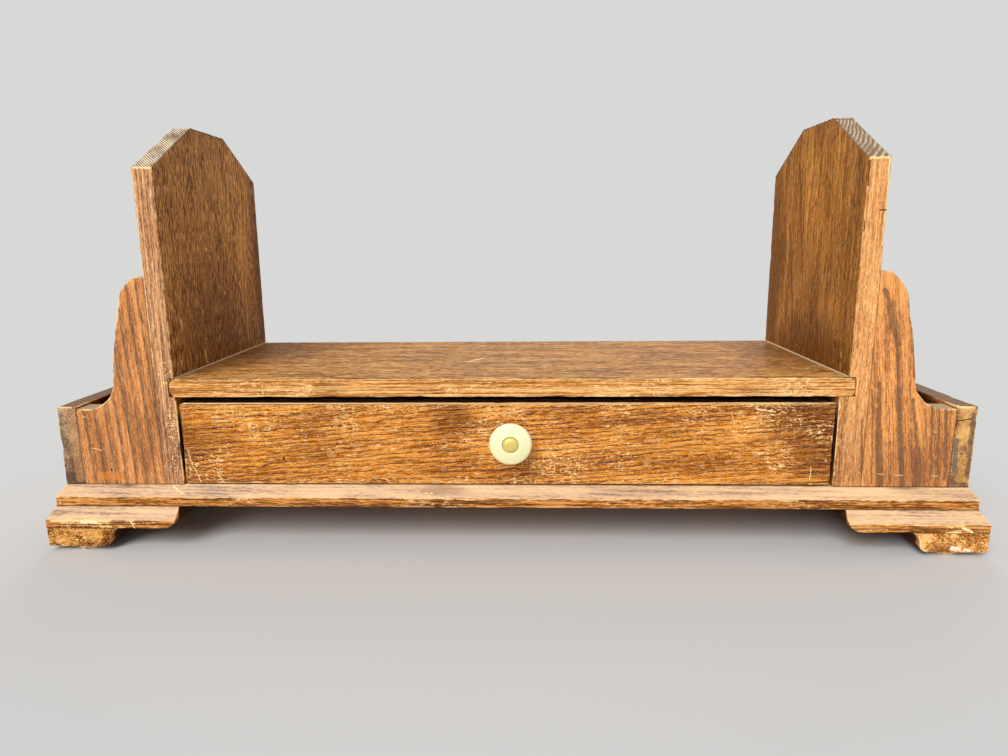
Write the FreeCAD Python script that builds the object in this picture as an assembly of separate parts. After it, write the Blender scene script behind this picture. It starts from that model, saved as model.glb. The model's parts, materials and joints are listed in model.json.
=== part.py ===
import FreeCAD, Part
import math
import os

# Desktop book rack with a drawer, made of oak boards. Millimetres, +Z up, the drawer faces -Y.
# The origin is the middle of the footprint, on the surface that the rack stands on.

V = FreeCAD.Vector
QUARTER = 1 - 0.5 ** 0.5     # from a quarter circle's two tangents to its middle, for a radius of 1

# Main case
INNER_WIDTH = 525.2          # between the two uprights
CASE_DEPTH = 197.5           # uprights, shelf and end walls, front to back
UPRIGHT_THICK = 15.7
UPRIGHT_HEIGHT = 286.6       # above the base board
CLIP_FRONT_RUN = 69.0        # clipped top corner at the front
CLIP_FRONT_DROP = 37.2
CLIP_BACK_RUN = 66.0
CLIP_BACK_DROP = 34.5
SHELF_THICK = 14.8
SHELF_TOP = 87.5             # above the base board
SHELF_EDGE_ROUND = 1.2
HOUSING_DEPTH = 5.0          # grooves in the uprights that hold the shelf's ends
BACK_PANEL_THICK = 9.5

# Side trays
TRAY_WIDTH = 67.0            # from an upright to its end wall
END_WALL_THICK = 15.8
END_WALL_HEIGHT = 64.8

# Brackets at the front and back of each tray, as seen from the front: out from the upright, up from the base
BRACKET_THICK = 19.0
BRACKET_HEIGHT = 167.6
BRACKET_TOP_FLAT = 8.0
BRACKET_SHOULDER_OUT = 22.5  # foot of the round shoulder
BRACKET_SHOULDER_DROP = 21.1
BRACKET_SHOULDER_RISE = 3.0  # height of the shoulder's arc over its chord
BRACKET_WAIST_OUT = 34.0     # top of the hollow
BRACKET_WAIST_UP = 19.2      # above the lip
BRACKET_FLANK_RISE = 1.1
BRACKET_LIP_HEIGHT = 62.8
BRACKET_LIP_FLAT = 12.0
BRACKET_HOLLOW_RISE = 4.2

# Base and feet: each layer stands out past the one above it, and has a sloping top edge
BASE_THICK = 16.5
BASE_OVERHANG = 6.5
BASE_BEVEL_DROP = 9.0
PLATE_THICK = 16.5
PLATE_OVERHANG = 6.5
PLATE_BEVEL_DROP = 10.2
PLATE_END_INSET = 2.9        # inner end, out from under the upright's inner face
PLATE_END_ROUND = 11.5
BLOCK_THICK = 16.0
BLOCK_TOP_WIDTH = 61.9
BLOCK_COVE = 9.5
BLOCK_TOE_ROUND = 6.3
BLOCK_SETBACK = 0.2          # behind the edges of the plate above
GLIDE_RADIUS = 10.8
GLIDE_FACE_RADIUS = 8.0
GLIDE_STAND = 4.0
GLIDE_FROM_SIDE = 29.0
GLIDE_FROM_FRONT = 11.4
GLIDE_SPIKE_WIDTH = 2.2
GLIDE_SPIKE_TIP = 0.9
GLIDE_SPIKE_LENGTH = 10.0

# Drawer
STRIP_THICK = 6.4            # packing strip on the right upright
DRAWER_SIDE_GAP = 2.2
DRAWER_TOP_GAP = 5.1
FRONT_FOOT_GAP = 1.2
DRAWER_LIFT = 0.3            # running gap under the sides
DRAWER_REAR_GAP = 3.0
FRONT_THICK = 15.0
FRONT_LAP = 6.0              # what covers the ends of the sides
FRONT_EDGE_ROUND = 0.8
SIDE_THICK = 9.5
SIDE_STEP_DOWN = 2.0         # below the top of the front
DRAWER_BACK_THICK = 9.5
DRAWER_BACK_STEP_DOWN = 5.0  # below the top of the sides
PANEL_THICK = 4.0
PANEL_UP = 5.0               # above the foot of the sides
PANEL_GROOVE = 4.5

# Knob, turned about its bolt
KNOB_RADIUS = 16.5
KNOB_OFF_CENTRE = 4.0        # to the right of the rack's middle
KNOB_HEIGHT = 38.5           # above the base board
KNOB_FOOT_RADIUS = 8.5
KNOB_WAIST_RADIUS = 6.6
KNOB_WAIST_OUT = 6.0
KNOB_RIM_OUT = 12.6
KNOB_RIM_THICK = 2.0         # straight part of the rim, behind its eased edge
KNOB_RIM_EASE = 1.2
KNOB_FACE_RISE = 1.6         # from the eased edge up to the recess for the button
RECESS_DEPTH = 1.2
BUTTON_RADIUS = 6.0
BUTTON_RISE = 2.4
BOLT_RADIUS = 2.0
WASHER_RADIUS = 6.0
WASHER_THICK = 1.0
NUT_ACROSS = 7.0
NUT_THICK = 3.2
BOLT_END = 2.0               # past the nut

# Cut nails: two of their sides are parallel, and the other two taper to the tip
NAIL_THICK = 2.4             # between the parallel sides
NAIL_WIDE = 4.0              # at the head
NAIL_TIP = 1.6
NAIL_HEAD_WIDE = 6.0
NAIL_HEAD_THICK = 1.6
BRAD_THICK = 1.2
BRAD_WIDE = 1.8
BRAD_TIP = 0.8
BRAD_HEAD_WIDE = 2.8
BRAD_HEAD_THICK = 0.8
BASE_NAIL_GRIP = 26.0        # in the uprights and end walls
SKIN = 4.6                   # wood left between a tip and the far face of the board that holds it
NAIL_FROM_END = 28.0         # first nail of a row, from the front or back of the case
BLOCK_NAIL_FROM_END = 56.0
BLOCK_NAIL_FROM_SIDE = 20.8
BRAD_FROM_EDGE = 8.0         # first brad of an upright row in the drawer
BOTTOM_BRAD_FROM_SIDE = 56.0
DRAWER_BRAD_GRIP = 15.5      # in the drawer's front and back
HOLE_ROOM = 0.06             # between a fastener and its hole

# Heights
block_bottom = GLIDE_STAND
plate_bottom = block_bottom + BLOCK_THICK
base_bottom = plate_bottom + PLATE_THICK
base_top = base_bottom + BASE_THICK
shelf_top = base_top + SHELF_TOP
shelf_bottom = shelf_top - SHELF_THICK

# Left and right, counted outwards from the middle
upright_in = INNER_WIDTH / 2
upright_out = upright_in + UPRIGHT_THICK
wall_in = upright_out + TRAY_WIDTH
wall_out = wall_in + END_WALL_THICK
base_side = wall_out + BASE_OVERHANG
plate_in = upright_in + PLATE_END_INSET
plate_side = base_side + PLATE_OVERHANG
block_side = plate_side - BLOCK_SETBACK

# Front and back: the origin is halfway between the knob, or the feet if they reach further, and the feet behind
knob_rim_front = KNOB_RIM_OUT + KNOB_RIM_THICK
knob_crown = knob_rim_front + KNOB_RIM_EASE + KNOB_FACE_RISE
recess_floor = knob_crown - RECESS_DEPTH
foot_reach = BASE_OVERHANG + PLATE_OVERHANG
front_reach = max(recess_floor + BUTTON_RISE, foot_reach)
case_front = (front_reach - CASE_DEPTH - foot_reach) / 2
case_back = case_front + CASE_DEPTH
case_middle = (case_front + case_back) / 2
base_front = case_front - BASE_OVERHANG
base_back = case_back + BASE_OVERHANG
plate_front = base_front - PLATE_OVERHANG
plate_back = base_back + PLATE_OVERHANG

# Drawer
drawer_left = -upright_in + DRAWER_SIDE_GAP
drawer_right = upright_in - STRIP_THICK - DRAWER_SIDE_GAP
front_bottom = base_top + FRONT_FOOT_GAP
front_top = shelf_bottom - DRAWER_TOP_GAP
front_back = case_front + FRONT_THICK
side_bottom = base_top + DRAWER_LIFT
side_top = front_top - SIDE_STEP_DOWN
drawer_back_top = side_top - DRAWER_BACK_STEP_DOWN
side_front = case_front + FRONT_LAP
drawer_rear = case_back - BACK_PANEL_THICK - DRAWER_REAR_GAP
panel_bottom = side_bottom + PANEL_UP
panel_top = panel_bottom + PANEL_THICK
knob_centre = V(KNOB_OFF_CENTRE, case_front, base_top + KNOB_HEIGHT)


def box(x0, x1, y0, y1, z0, z1):
    """A board between six planes."""
    return Part.makeBox(x1 - x0, y1 - y0, z1 - z0, V(x0, y0, z0))


def mirrored(shape):
    """The same piece on the left-hand side."""
    return shape.mirror(V(0, 0, 0), V(1, 0, 0))


def back_to_front(shape):
    """The same piece at the other end of the case's depth."""
    return shape.mirror(V(0, case_middle, 0), V(0, 1, 0))


def placed(shape, point, axis=V(0, 0, 1)):
    """A copy whose own origin and +Z lie at a point and along an axis."""
    copy = shape.copy()
    copy.Placement = FreeCAD.Placement(point, FreeCAD.Rotation(V(0, 0, 1), axis))
    return copy


def line(start, end):
    return Part.LineSegment(start, end).toShape()


def bow(start, end, rise, normal):
    """An arc over a chord. A positive rise bulges to the right, as the one that the normal points at sees it."""
    chord = end - start
    side = chord.cross(normal).normalize()
    return Part.Arc(start, (start + end) / 2 + side * rise, end).toShape()


def cap(rim, crown):
    """An arc from a rim up to the crown on the axis, level there."""
    rise = crown.z - rim.z
    ball = (rim.x ** 2 + rise ** 2) / (2 * rise)
    half = math.asin(rim.x / ball) / 2
    middle = V(ball * math.sin(half), 0, crown.z - ball + ball * math.cos(half))
    return Part.Arc(rim, middle, crown).toShape()


def closed(points):
    return Part.makePolygon(points + points[:1]).Edges


def extruded(edges, way):
    return Part.Face(Part.Wire(edges)).extrude(way)


def turned(edges):
    """A solid of revolution about Z from an outline in the XZ plane."""
    return Part.Face(Part.Wire(edges)).revolve(V(0, 0, 0), V(0, 0, 1), 360)


def near(value, target):
    return abs(value - target) < 1e-6


def spread(low, high, count):
    """Evenly spaced values from low to high."""
    return [low + (high - low) * index / (count - 1) for index in range(count)]


def sloped_outline(low, high, z0, z1, run, drop):
    """Corners of a board's end whose two top corners are cut off, as (along, height)."""
    return [(low, z0), (high, z0), (high, z1 - drop), (high - run, z1), (low + run, z1), (low, z1 - drop)]


def bevelled_board(x0, x1, y0, y1, z0, z1, run, drop):
    """A board whose four top edges slope down and outwards."""
    across = closed([V(x, y0, z) for x, z in sloped_outline(x0, x1, z0, z1, run, drop)])
    deep = closed([V(x0, y, z) for y, z in sloped_outline(y0, y1, z0, z1, run, drop)])
    return extruded(across, V(0, y1 - y0, 0)).common(extruded(deep, V(x1 - x0, 0, 0)))


def spike(length, wide, tip, thick):
    """A bar along +Z with two parallel sides, 'thick' apart, and two that taper from 'wide' down to 'tip'."""
    side = [V(-wide / 2, 0, 0), V(wide / 2, 0, 0), V(tip / 2, 0, length), V(-tip / 2, 0, length)]
    return extruded(closed([corner - V(0, thick / 2, 0) for corner in side]), V(0, thick, 0))


def headed_nail(length, wide, tip, thick, head_wide, head_thick):
    """A cut nail pointing up, its head's face at the origin."""
    head = box(-head_wide / 2, head_wide / 2, -thick / 2, thick / 2, 0, head_thick)
    return head.fuse(spike(length, wide, tip, thick)).removeSplitter()


def cut_nail(length, room):
    """With some room all round, it is the hole for the nail."""
    return headed_nail(length + room, NAIL_WIDE + 2 * room, NAIL_TIP + 2 * room, NAIL_THICK + 2 * room,
                       NAIL_HEAD_WIDE + 2 * room, NAIL_HEAD_THICK + room)


def brad(length, room):
    """A small cut nail."""
    return headed_nail(length + room, BRAD_WIDE + 2 * room, BRAD_TIP + 2 * room, BRAD_THICK + 2 * room,
                       BRAD_HEAD_WIDE + 2 * room, BRAD_HEAD_THICK + room)


def base_nails(room=0.0):
    """Up through the base board into the uprights and the end walls."""
    pin = cut_nail(BASE_THICK + BASE_NAIL_GRIP, room)
    rows = (upright_in + upright_out) / 2, (wall_in + wall_out) / 2
    return [
        placed(pin, V(side * x, y, base_bottom))
        for side in (-1, 1)
        for x in rows
        for y in spread(case_front + NAIL_FROM_END, case_back - NAIL_FROM_END, 3)
    ]


def plate_nails(room=0.0):
    """Up through each foot plate into the base board, between the rows of base nails."""
    pin = cut_nail(PLATE_THICK + BASE_THICK - SKIN, room)
    x = (upright_out + wall_in) / 2
    return [
        placed(pin, V(side * x, y, plate_bottom))
        for side in (-1, 1)
        for y in spread(case_front + NAIL_FROM_END, case_back - NAIL_FROM_END, 3)
    ]


def block_nails(room=0.0):
    """Up through each foot block into its plate, clear of the glides and the plate nails."""
    pin = cut_nail(BLOCK_THICK + PLATE_THICK - SKIN, room)
    x = block_side - BLOCK_NAIL_FROM_SIDE
    return [
        placed(pin, V(side * x, y, block_bottom))
        for side in (-1, 1)
        for y in (case_front + BLOCK_NAIL_FROM_END, case_back - BLOCK_NAIL_FROM_END)
    ]


def strip_brads(room=0.0):
    """Through the packing strip into the right upright."""
    pin = brad(STRIP_THICK + UPRIGHT_THICK - SKIN, room)
    face = upright_in - STRIP_THICK
    height = (base_top + shelf_bottom) / 2
    ends = case_front + NAIL_FROM_END, case_back - BACK_PANEL_THICK - NAIL_FROM_END
    return [placed(pin, V(face, y, height), V(1, 0, 0)) for y in spread(*ends, 3)]


def drawer_brads(room=0.0):
    """Through the drawer's sides into its front and back, and up through its bottom into the back."""
    side_pin = brad(SIDE_THICK + DRAWER_BRAD_GRIP, room)
    bottom_pin = brad(PANEL_THICK + DRAWER_BRAD_GRIP, room)
    front_y = (side_front + front_back) / 2
    back_y = drawer_rear - DRAWER_BACK_THICK / 2
    pins = []
    for face, way in ((drawer_left, V(1, 0, 0)), (drawer_right, V(-1, 0, 0))):
        for z in spread(panel_top + BRAD_FROM_EDGE, side_top - BRAD_FROM_EDGE, 3):
            pins.append(placed(side_pin, V(face, front_y, z), way))
        for z in (panel_top + BRAD_FROM_EDGE, drawer_back_top - BRAD_FROM_EDGE):
            pins.append(placed(side_pin, V(face, back_y, z), way))
    for x in spread(drawer_left + BOTTOM_BRAD_FROM_SIDE, drawer_right - BOTTOM_BRAD_FROM_SIDE, 5):
        pins.append(placed(bottom_pin, V(x, back_y, panel_bottom)))
    return pins


def base_board():
    board = bevelled_board(-base_side, base_side, base_front, base_back, base_bottom, base_top,
                           BASE_OVERHANG, BASE_BEVEL_DROP)
    return board.cut(base_nails(HOLE_ROOM) + plate_nails(HOLE_ROOM))


def right_upright():
    """Side of the book space: clipped top corners, and a groove across for the shelf."""
    top = base_top + UPRIGHT_HEIGHT
    outline = [
        V(upright_in, case_front, base_top),
        V(upright_in, case_back, base_top),
        V(upright_in, case_back, top - CLIP_BACK_DROP),
        V(upright_in, case_back - CLIP_BACK_RUN, top),
        V(upright_in, case_front + CLIP_FRONT_RUN, top),
        V(upright_in, case_front, top - CLIP_FRONT_DROP),
    ]
    board = extruded(closed(outline), V(UPRIGHT_THICK, 0, 0))
    groove = box(upright_in, upright_in + HOUSING_DEPTH, case_front, case_back, shelf_bottom, shelf_top)
    return board.cut([groove] + base_nails(HOLE_ROOM))


def shelf():
    reach = upright_in + HOUSING_DEPTH
    board = box(-reach, reach, case_front, case_back, shelf_bottom, shelf_top)
    long_edges = [edge for edge in board.Edges if near(edge.CenterOfMass.z, shelf_top)
                  and not near(abs(edge.CenterOfMass.x), reach)]
    return board.makeFillet(SHELF_EDGE_ROUND, long_edges)


def right_front_bracket():
    """Ogee bracket that closes the front of a tray: round shoulder, long flank, hollow and flat lip."""
    left, low = upright_out, base_top
    top = low + BRACKET_HEIGHT
    lip = low + BRACKET_LIP_HEIGHT

    def at(out, height):
        return V(left + out, case_front, height)

    toe = at(TRAY_WIDTH, low)
    lip_end = at(TRAY_WIDTH, lip)
    lip_start = at(TRAY_WIDTH - BRACKET_LIP_FLAT, lip)
    waist = at(BRACKET_WAIST_OUT, lip + BRACKET_WAIST_UP)
    shoulder = at(BRACKET_SHOULDER_OUT, top - BRACKET_SHOULDER_DROP)
    crown = at(BRACKET_TOP_FLAT, top)
    face = V(0, -1, 0)
    edges = [
        line(at(0, low), toe),
        line(toe, lip_end),
        line(lip_end, lip_start),
        bow(lip_start, waist, -BRACKET_HOLLOW_RISE, face),
        bow(waist, shoulder, BRACKET_FLANK_RISE, face),
        bow(shoulder, crown, BRACKET_SHOULDER_RISE, face),
        line(crown, at(0, top)),
        line(at(0, top), at(0, low)),
    ]
    return extruded(edges, V(0, BRACKET_THICK, 0))


def right_end_wall():
    board = box(wall_in, wall_out, case_front, case_back, base_top, base_top + END_WALL_HEIGHT)
    return board.cut(base_nails(HOLE_ROOM))


def back_panel():
    """Closes the drawer's space behind."""
    return box(-upright_in, upright_in, case_back - BACK_PANEL_THICK, case_back, base_top, shelf_bottom)


def guide_strip():
    """Packing strip that takes up the width beside the drawer."""
    strip = box(upright_in - STRIP_THICK, upright_in, case_front, case_back - BACK_PANEL_THICK,
                base_top, shelf_bottom)
    return strip.cut(strip_brads(HOLE_ROOM))


def right_foot_plate():
    """Upper layer of a foot: sloped on three sides, and rounded under at its inner end."""
    low, high = plate_bottom, base_bottom
    shoulder = high - PLATE_BEVEL_DROP
    round_side = V(plate_in, plate_front, low + PLATE_END_ROUND)
    round_foot = V(plate_in + PLATE_END_ROUND, plate_front, low)
    round_middle = V(plate_in + PLATE_END_ROUND * QUARTER, plate_front, low + PLATE_END_ROUND * QUARTER)
    across = [
        line(round_foot, V(plate_side, plate_front, low)),
        line(V(plate_side, plate_front, low), V(plate_side, plate_front, shoulder)),
        line(V(plate_side, plate_front, shoulder), V(base_side, plate_front, high)),
        line(V(base_side, plate_front, high), V(plate_in, plate_front, high)),
        line(V(plate_in, plate_front, high), round_side),
        Part.Arc(round_side, round_middle, round_foot).toShape(),
    ]
    deep = sloped_outline(plate_front, plate_back, low, high, PLATE_OVERHANG, PLATE_BEVEL_DROP)
    board = extruded(across, V(0, plate_back - plate_front, 0))
    slopes = extruded(closed([V(plate_in, y, z) for y, z in deep]), V(plate_side - plate_in, 0, 0))
    return board.common(slopes).cut(plate_nails(HOLE_ROOM) + block_nails(HOLE_ROOM))


def right_foot_block():
    """Lower layer of a foot, with a cove and a rounded toe along its inner side."""
    front = plate_front + BLOCK_SETBACK
    back = plate_back - BLOCK_SETBACK
    inner = block_side - BLOCK_TOP_WIDTH
    cove_foot = V(inner + BLOCK_COVE, front, plate_bottom - BLOCK_COVE)
    toe_top = V(inner + BLOCK_COVE, front, block_bottom + BLOCK_TOE_ROUND)
    toe = V(inner + BLOCK_COVE + BLOCK_TOE_ROUND, front, block_bottom)
    cove_top = V(inner, front, plate_bottom)
    outer_low = V(block_side, front, block_bottom)
    outer_top = V(block_side, front, plate_bottom)
    cove_middle = V(inner + BLOCK_COVE * (1 - QUARTER), front, plate_bottom - BLOCK_COVE * QUARTER)
    toe_middle = V(toe_top.x + BLOCK_TOE_ROUND * QUARTER, front, block_bottom + BLOCK_TOE_ROUND * QUARTER)
    edges = [
        line(outer_top, outer_low),
        line(outer_low, toe),
        Part.Arc(toe, toe_middle, toe_top).toShape(),
        line(toe_top, cove_foot),
        Part.Arc(cove_foot, cove_middle, cove_top).toShape(),
        line(cove_top, outer_top),
    ]
    block = extruded(edges, V(0, back - front, 0))
    pins = [glide_spike(place, HOLE_ROOM) for place in glide_places()]
    return block.cut(block_nails(HOLE_ROOM) + pins)


def glide_places():
    """Front and back glide of the right foot."""
    x = plate_side - GLIDE_FROM_SIDE
    return [V(x, plate_front + GLIDE_FROM_FRONT, 0), V(x, plate_back - GLIDE_FROM_FRONT, 0)]


def glide_spike(place, room=0.0):
    shape = spike(GLIDE_SPIKE_LENGTH + room, GLIDE_SPIKE_WIDTH + 2 * room, GLIDE_SPIKE_TIP + 2 * room,
                  GLIDE_SPIKE_WIDTH + 2 * room)
    return placed(shape, place + V(0, 0, GLIDE_STAND))


def glide(place):
    """Nail-on glide: a flat face to stand on, a sloping flank and a spike up into the block."""
    dish = Part.makeCone(GLIDE_FACE_RADIUS, GLIDE_RADIUS, GLIDE_STAND, place)
    return dish.fuse(glide_spike(place)).removeSplitter()


def knob_hole():
    """Bolt hole through the drawer front."""
    return Part.makeCylinder(BOLT_RADIUS + HOLE_ROOM, FRONT_THICK, knob_centre, V(0, 1, 0))


def drawer_front():
    """Thick front, rebated for the sides and grooved for the bottom."""
    board = box(drawer_left, drawer_right, case_front, front_back, front_bottom, front_top)
    rim = [edge for edge in board.Edges if near(edge.CenterOfMass.y, case_front)]
    board = board.makeFillet(FRONT_EDGE_ROUND, rim)
    rebates = [
        box(x, x + SIDE_THICK, side_front, front_back, front_bottom, front_top)
        for x in (drawer_left, drawer_right - SIDE_THICK)
    ]
    groove = box(drawer_left + SIDE_THICK, drawer_right - SIDE_THICK, front_back - PANEL_GROOVE, front_back,
                 panel_bottom, panel_top)
    return board.cut(rebates + [groove, knob_hole()] + drawer_brads(HOLE_ROOM))


def drawer_side(outer, inward):
    """Runs on the base board; a groove in its inner face holds the bottom."""
    inner = outer + inward * SIDE_THICK
    groove_floor = inner - inward * PANEL_GROOVE
    board = box(min(outer, inner), max(outer, inner), side_front, drawer_rear, side_bottom, side_top)
    groove = box(min(inner, groove_floor), max(inner, groove_floor), side_front, drawer_rear,
                 panel_bottom, panel_top)
    stopped = box(min(outer, inner), max(outer, inner), side_front, front_back, panel_bottom, panel_top)
    return board.cut([groove.cut(stopped)] + drawer_brads(HOLE_ROOM))


def drawer_back():
    """Stands on the bottom, between the sides, and is lower than they are."""
    board = box(drawer_left + SIDE_THICK, drawer_right - SIDE_THICK, drawer_rear - DRAWER_BACK_THICK, drawer_rear,
                panel_top, drawer_back_top)
    return board.cut(drawer_brads(HOLE_ROOM))


def drawer_bottom():
    """Thin panel in the grooves of the sides and the front, fixed up into the back."""
    tongue = SIDE_THICK - PANEL_GROOVE
    wide = box(drawer_left + tongue, drawer_right - tongue, front_back, drawer_rear, panel_bottom, panel_top)
    lip = box(drawer_left + SIDE_THICK, drawer_right - SIDE_THICK, front_back - PANEL_GROOVE, front_back,
              panel_bottom, panel_top)
    return wide.fuse(lip).removeSplitter().cut(drawer_brads(HOLE_ROOM))


def drawer_knob():
    """Mushroom knob: narrow waist, wide rim with an eased edge, a face that rises to a recess for the button."""
    bore = BOLT_RADIUS + HOLE_ROOM
    recess = BUTTON_RADIUS + HOLE_ROOM
    outline = [
        (bore, 0),
        (KNOB_FOOT_RADIUS, 0),
        (KNOB_WAIST_RADIUS, KNOB_WAIST_OUT),
        (KNOB_RADIUS, KNOB_RIM_OUT),
        (KNOB_RADIUS, knob_rim_front),
        (KNOB_RADIUS - KNOB_RIM_EASE, knob_rim_front + KNOB_RIM_EASE),
        (recess, knob_crown),
        (recess, recess_floor),
        (bore, recess_floor),
    ]
    edges = closed([V(radius, 0, out) for radius, out in outline])
    return placed(turned(edges), knob_centre, V(0, -1, 0))


def knob_bolt():
    """Bolt with a domed head that shows as the knob's centre button."""
    end = -(FRONT_THICK + WASHER_THICK + NUT_THICK + BOLT_END)
    crown = V(0, 0, recess_floor + BUTTON_RISE)
    edge = V(BUTTON_RADIUS, 0, recess_floor)
    neck = V(BOLT_RADIUS, 0, recess_floor)
    edges = [
        line(V(0, 0, end), V(BOLT_RADIUS, 0, end)),
        line(V(BOLT_RADIUS, 0, end), neck),
        line(neck, edge),
        cap(edge, crown),
        line(crown, V(0, 0, end)),
    ]
    return placed(turned(edges), knob_centre, V(0, -1, 0))


def knob_washer():
    start = knob_centre + V(0, FRONT_THICK, 0)
    disc = Part.makeCylinder(WASHER_RADIUS, WASHER_THICK, start, V(0, 1, 0))
    return disc.cut(Part.makeCylinder(BOLT_RADIUS + HOLE_ROOM, WASHER_THICK, start, V(0, 1, 0)))


def knob_nut():
    """Hexagon nut on the inside of the drawer front."""
    start = knob_centre + V(0, FRONT_THICK + WASHER_THICK, 0)
    corner_radius = NUT_ACROSS / 3 ** 0.5
    turn = FreeCAD.Rotation(V(0, 1, 0), 60)
    corners = [V(corner_radius, 0, 0)]
    for _ in range(5):
        corners.append(turn.multVec(corners[-1]))
    prism = extruded(closed([start + corner for corner in corners]), V(0, NUT_THICK, 0))
    return prism.cut(Part.makeCylinder(BOLT_RADIUS + HOLE_ROOM, NUT_THICK, start, V(0, 1, 0)))


def rack():
    """Every piece, by name."""
    upright = right_upright()
    bracket = right_front_bracket()
    wall = right_end_wall()
    plate = right_foot_plate()
    block = right_foot_block()
    front_glide, rear_glide = [glide(place) for place in glide_places()]
    return {
        "base_board": base_board(),
        "left_upright": mirrored(upright),
        "right_upright": upright.cut(strip_brads(HOLE_ROOM)),
        "shelf": shelf(),
        "left_front_bracket": mirrored(bracket),
        "right_front_bracket": bracket,
        "left_rear_bracket": mirrored(back_to_front(bracket)),
        "right_rear_bracket": back_to_front(bracket),
        "left_end_wall": mirrored(wall),
        "right_end_wall": wall,
        "back_panel": back_panel(),
        "right_guide_strip": guide_strip(),
        "left_foot_plate": mirrored(plate),
        "right_foot_plate": plate,
        "left_foot_block": mirrored(block),
        "right_foot_block": block,
        "front_left_glide": mirrored(front_glide),
        "front_right_glide": front_glide,
        "rear_left_glide": mirrored(rear_glide),
        "rear_right_glide": rear_glide,
        "base_nails": Part.makeCompound(base_nails()),
        "plate_nails": Part.makeCompound(plate_nails()),
        "block_nails": Part.makeCompound(block_nails()),
        "strip_brads": Part.makeCompound(strip_brads()),
        "drawer_front": drawer_front(),
        "drawer_left_side": drawer_side(drawer_left, 1),
        "drawer_right_side": drawer_side(drawer_right, -1),
        "drawer_back": drawer_back(),
        "drawer_bottom": drawer_bottom(),
        "drawer_brads": Part.makeCompound(drawer_brads()),
        "drawer_knob": drawer_knob(),
        "knob_bolt": knob_bolt(),
        "knob_washer": knob_washer(),
        "knob_nut": knob_nut(),
    }


os.makedirs("parts", exist_ok=True)
for name, shape in rack().items():
    shape.exportStep("parts/" + name + ".step")
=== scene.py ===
import json
import math

import bmesh
import bpy
from mathutils import Matrix, Vector, kdtree, noise
from mathutils.bvhtree import BVHTree

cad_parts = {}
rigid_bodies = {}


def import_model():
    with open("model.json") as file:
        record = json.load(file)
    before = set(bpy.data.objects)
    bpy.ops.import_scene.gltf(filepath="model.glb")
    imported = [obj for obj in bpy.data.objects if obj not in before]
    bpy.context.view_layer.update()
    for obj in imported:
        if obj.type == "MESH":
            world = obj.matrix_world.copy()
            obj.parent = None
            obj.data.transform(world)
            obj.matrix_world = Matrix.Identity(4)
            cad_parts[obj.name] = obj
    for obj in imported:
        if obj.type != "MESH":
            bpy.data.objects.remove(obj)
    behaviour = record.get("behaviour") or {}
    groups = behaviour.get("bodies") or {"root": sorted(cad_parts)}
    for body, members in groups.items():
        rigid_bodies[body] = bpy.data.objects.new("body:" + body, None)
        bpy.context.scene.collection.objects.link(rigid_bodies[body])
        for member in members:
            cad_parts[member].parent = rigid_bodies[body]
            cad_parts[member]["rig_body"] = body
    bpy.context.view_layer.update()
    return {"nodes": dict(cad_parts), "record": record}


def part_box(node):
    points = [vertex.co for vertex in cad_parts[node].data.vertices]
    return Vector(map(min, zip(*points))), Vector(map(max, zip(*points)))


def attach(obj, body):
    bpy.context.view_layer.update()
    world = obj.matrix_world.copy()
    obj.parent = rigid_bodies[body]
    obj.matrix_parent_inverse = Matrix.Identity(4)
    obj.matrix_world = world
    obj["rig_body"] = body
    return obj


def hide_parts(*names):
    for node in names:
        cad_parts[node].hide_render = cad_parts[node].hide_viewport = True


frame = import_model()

# A worn oak book rack with a drawer, in metres. Lengths below are in millimetres and go through MM.
MM = 0.001

# Camera, as fitted to the photograph
PHOTO_WIDE = 1008
PHOTO_FOCAL = 700.0
SENSOR = 36.0
EYE_RIGHT = 19.77
EYE_BEFORE_CASE = 532.39
EYE_ABOVE_BASE = 194.27
EYE_YAW = 0.0392
EYE_PITCH = 0.1973
EYE_ROLL = -0.0099

# Wear and surface of the boards: lengths in millimetres, angles in degrees
MERGE = 0.002
ON_PLANE = 0.01
FLAT_ANGLE = 0.6
SHARP_ANGLE = 20.0
SHORTEST_ARRIS = 4.0
BROAD_FACE = 12.0
EASE = 0.55
SAMPLE = 2.0
PROBE = 0.8
TOUCH = 0.4
INSIDE_REACH = 3.0
REACH = 8.0
DENT_REACH = 3.2
LUMP_SIZE = 9.0
NICK_SIZE = 3.4
LOOPS = (1.2, 2.6)
SMALLEST_FLAT = 150.0
SAWN_REACH = 40.0

# Shares, 0 to 1
OPEN_SHARE = 0.35
SAWN_SHARE = 0.35
LEAST_UPWARD = 0.3

# How far the grain moves for each whole seed, along and through the board
SEED_ALONG = 113.0
SEED_THROUGH = 37.0

# Studio, the floor in metres
FLOOR_SIZE = 40.0
FLOOR_COLOUR = (0.62, 0.62, 0.615, 1.0)
BACKDROP = (0.688, 0.688, 0.683, 1.0)
SOFT_LIGHT = 0.45
LAMPS = (("key", (-0.34, -0.8, 0.65), 0.87, 35.0), ("back_fill", (0.1, 0.85, 0.45), 0.3, 50.0))


def paint(red, green, blue):
    """A colour given as it looks on a screen, 0 to 255, as the linear colour that a shader takes."""
    shares = [value / 255.0 for value in (red, green, blue)]
    return tuple(s / 12.92 if s <= 0.04045 else ((s + 0.055) / 1.055) ** 2.4 for s in shares)


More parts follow.
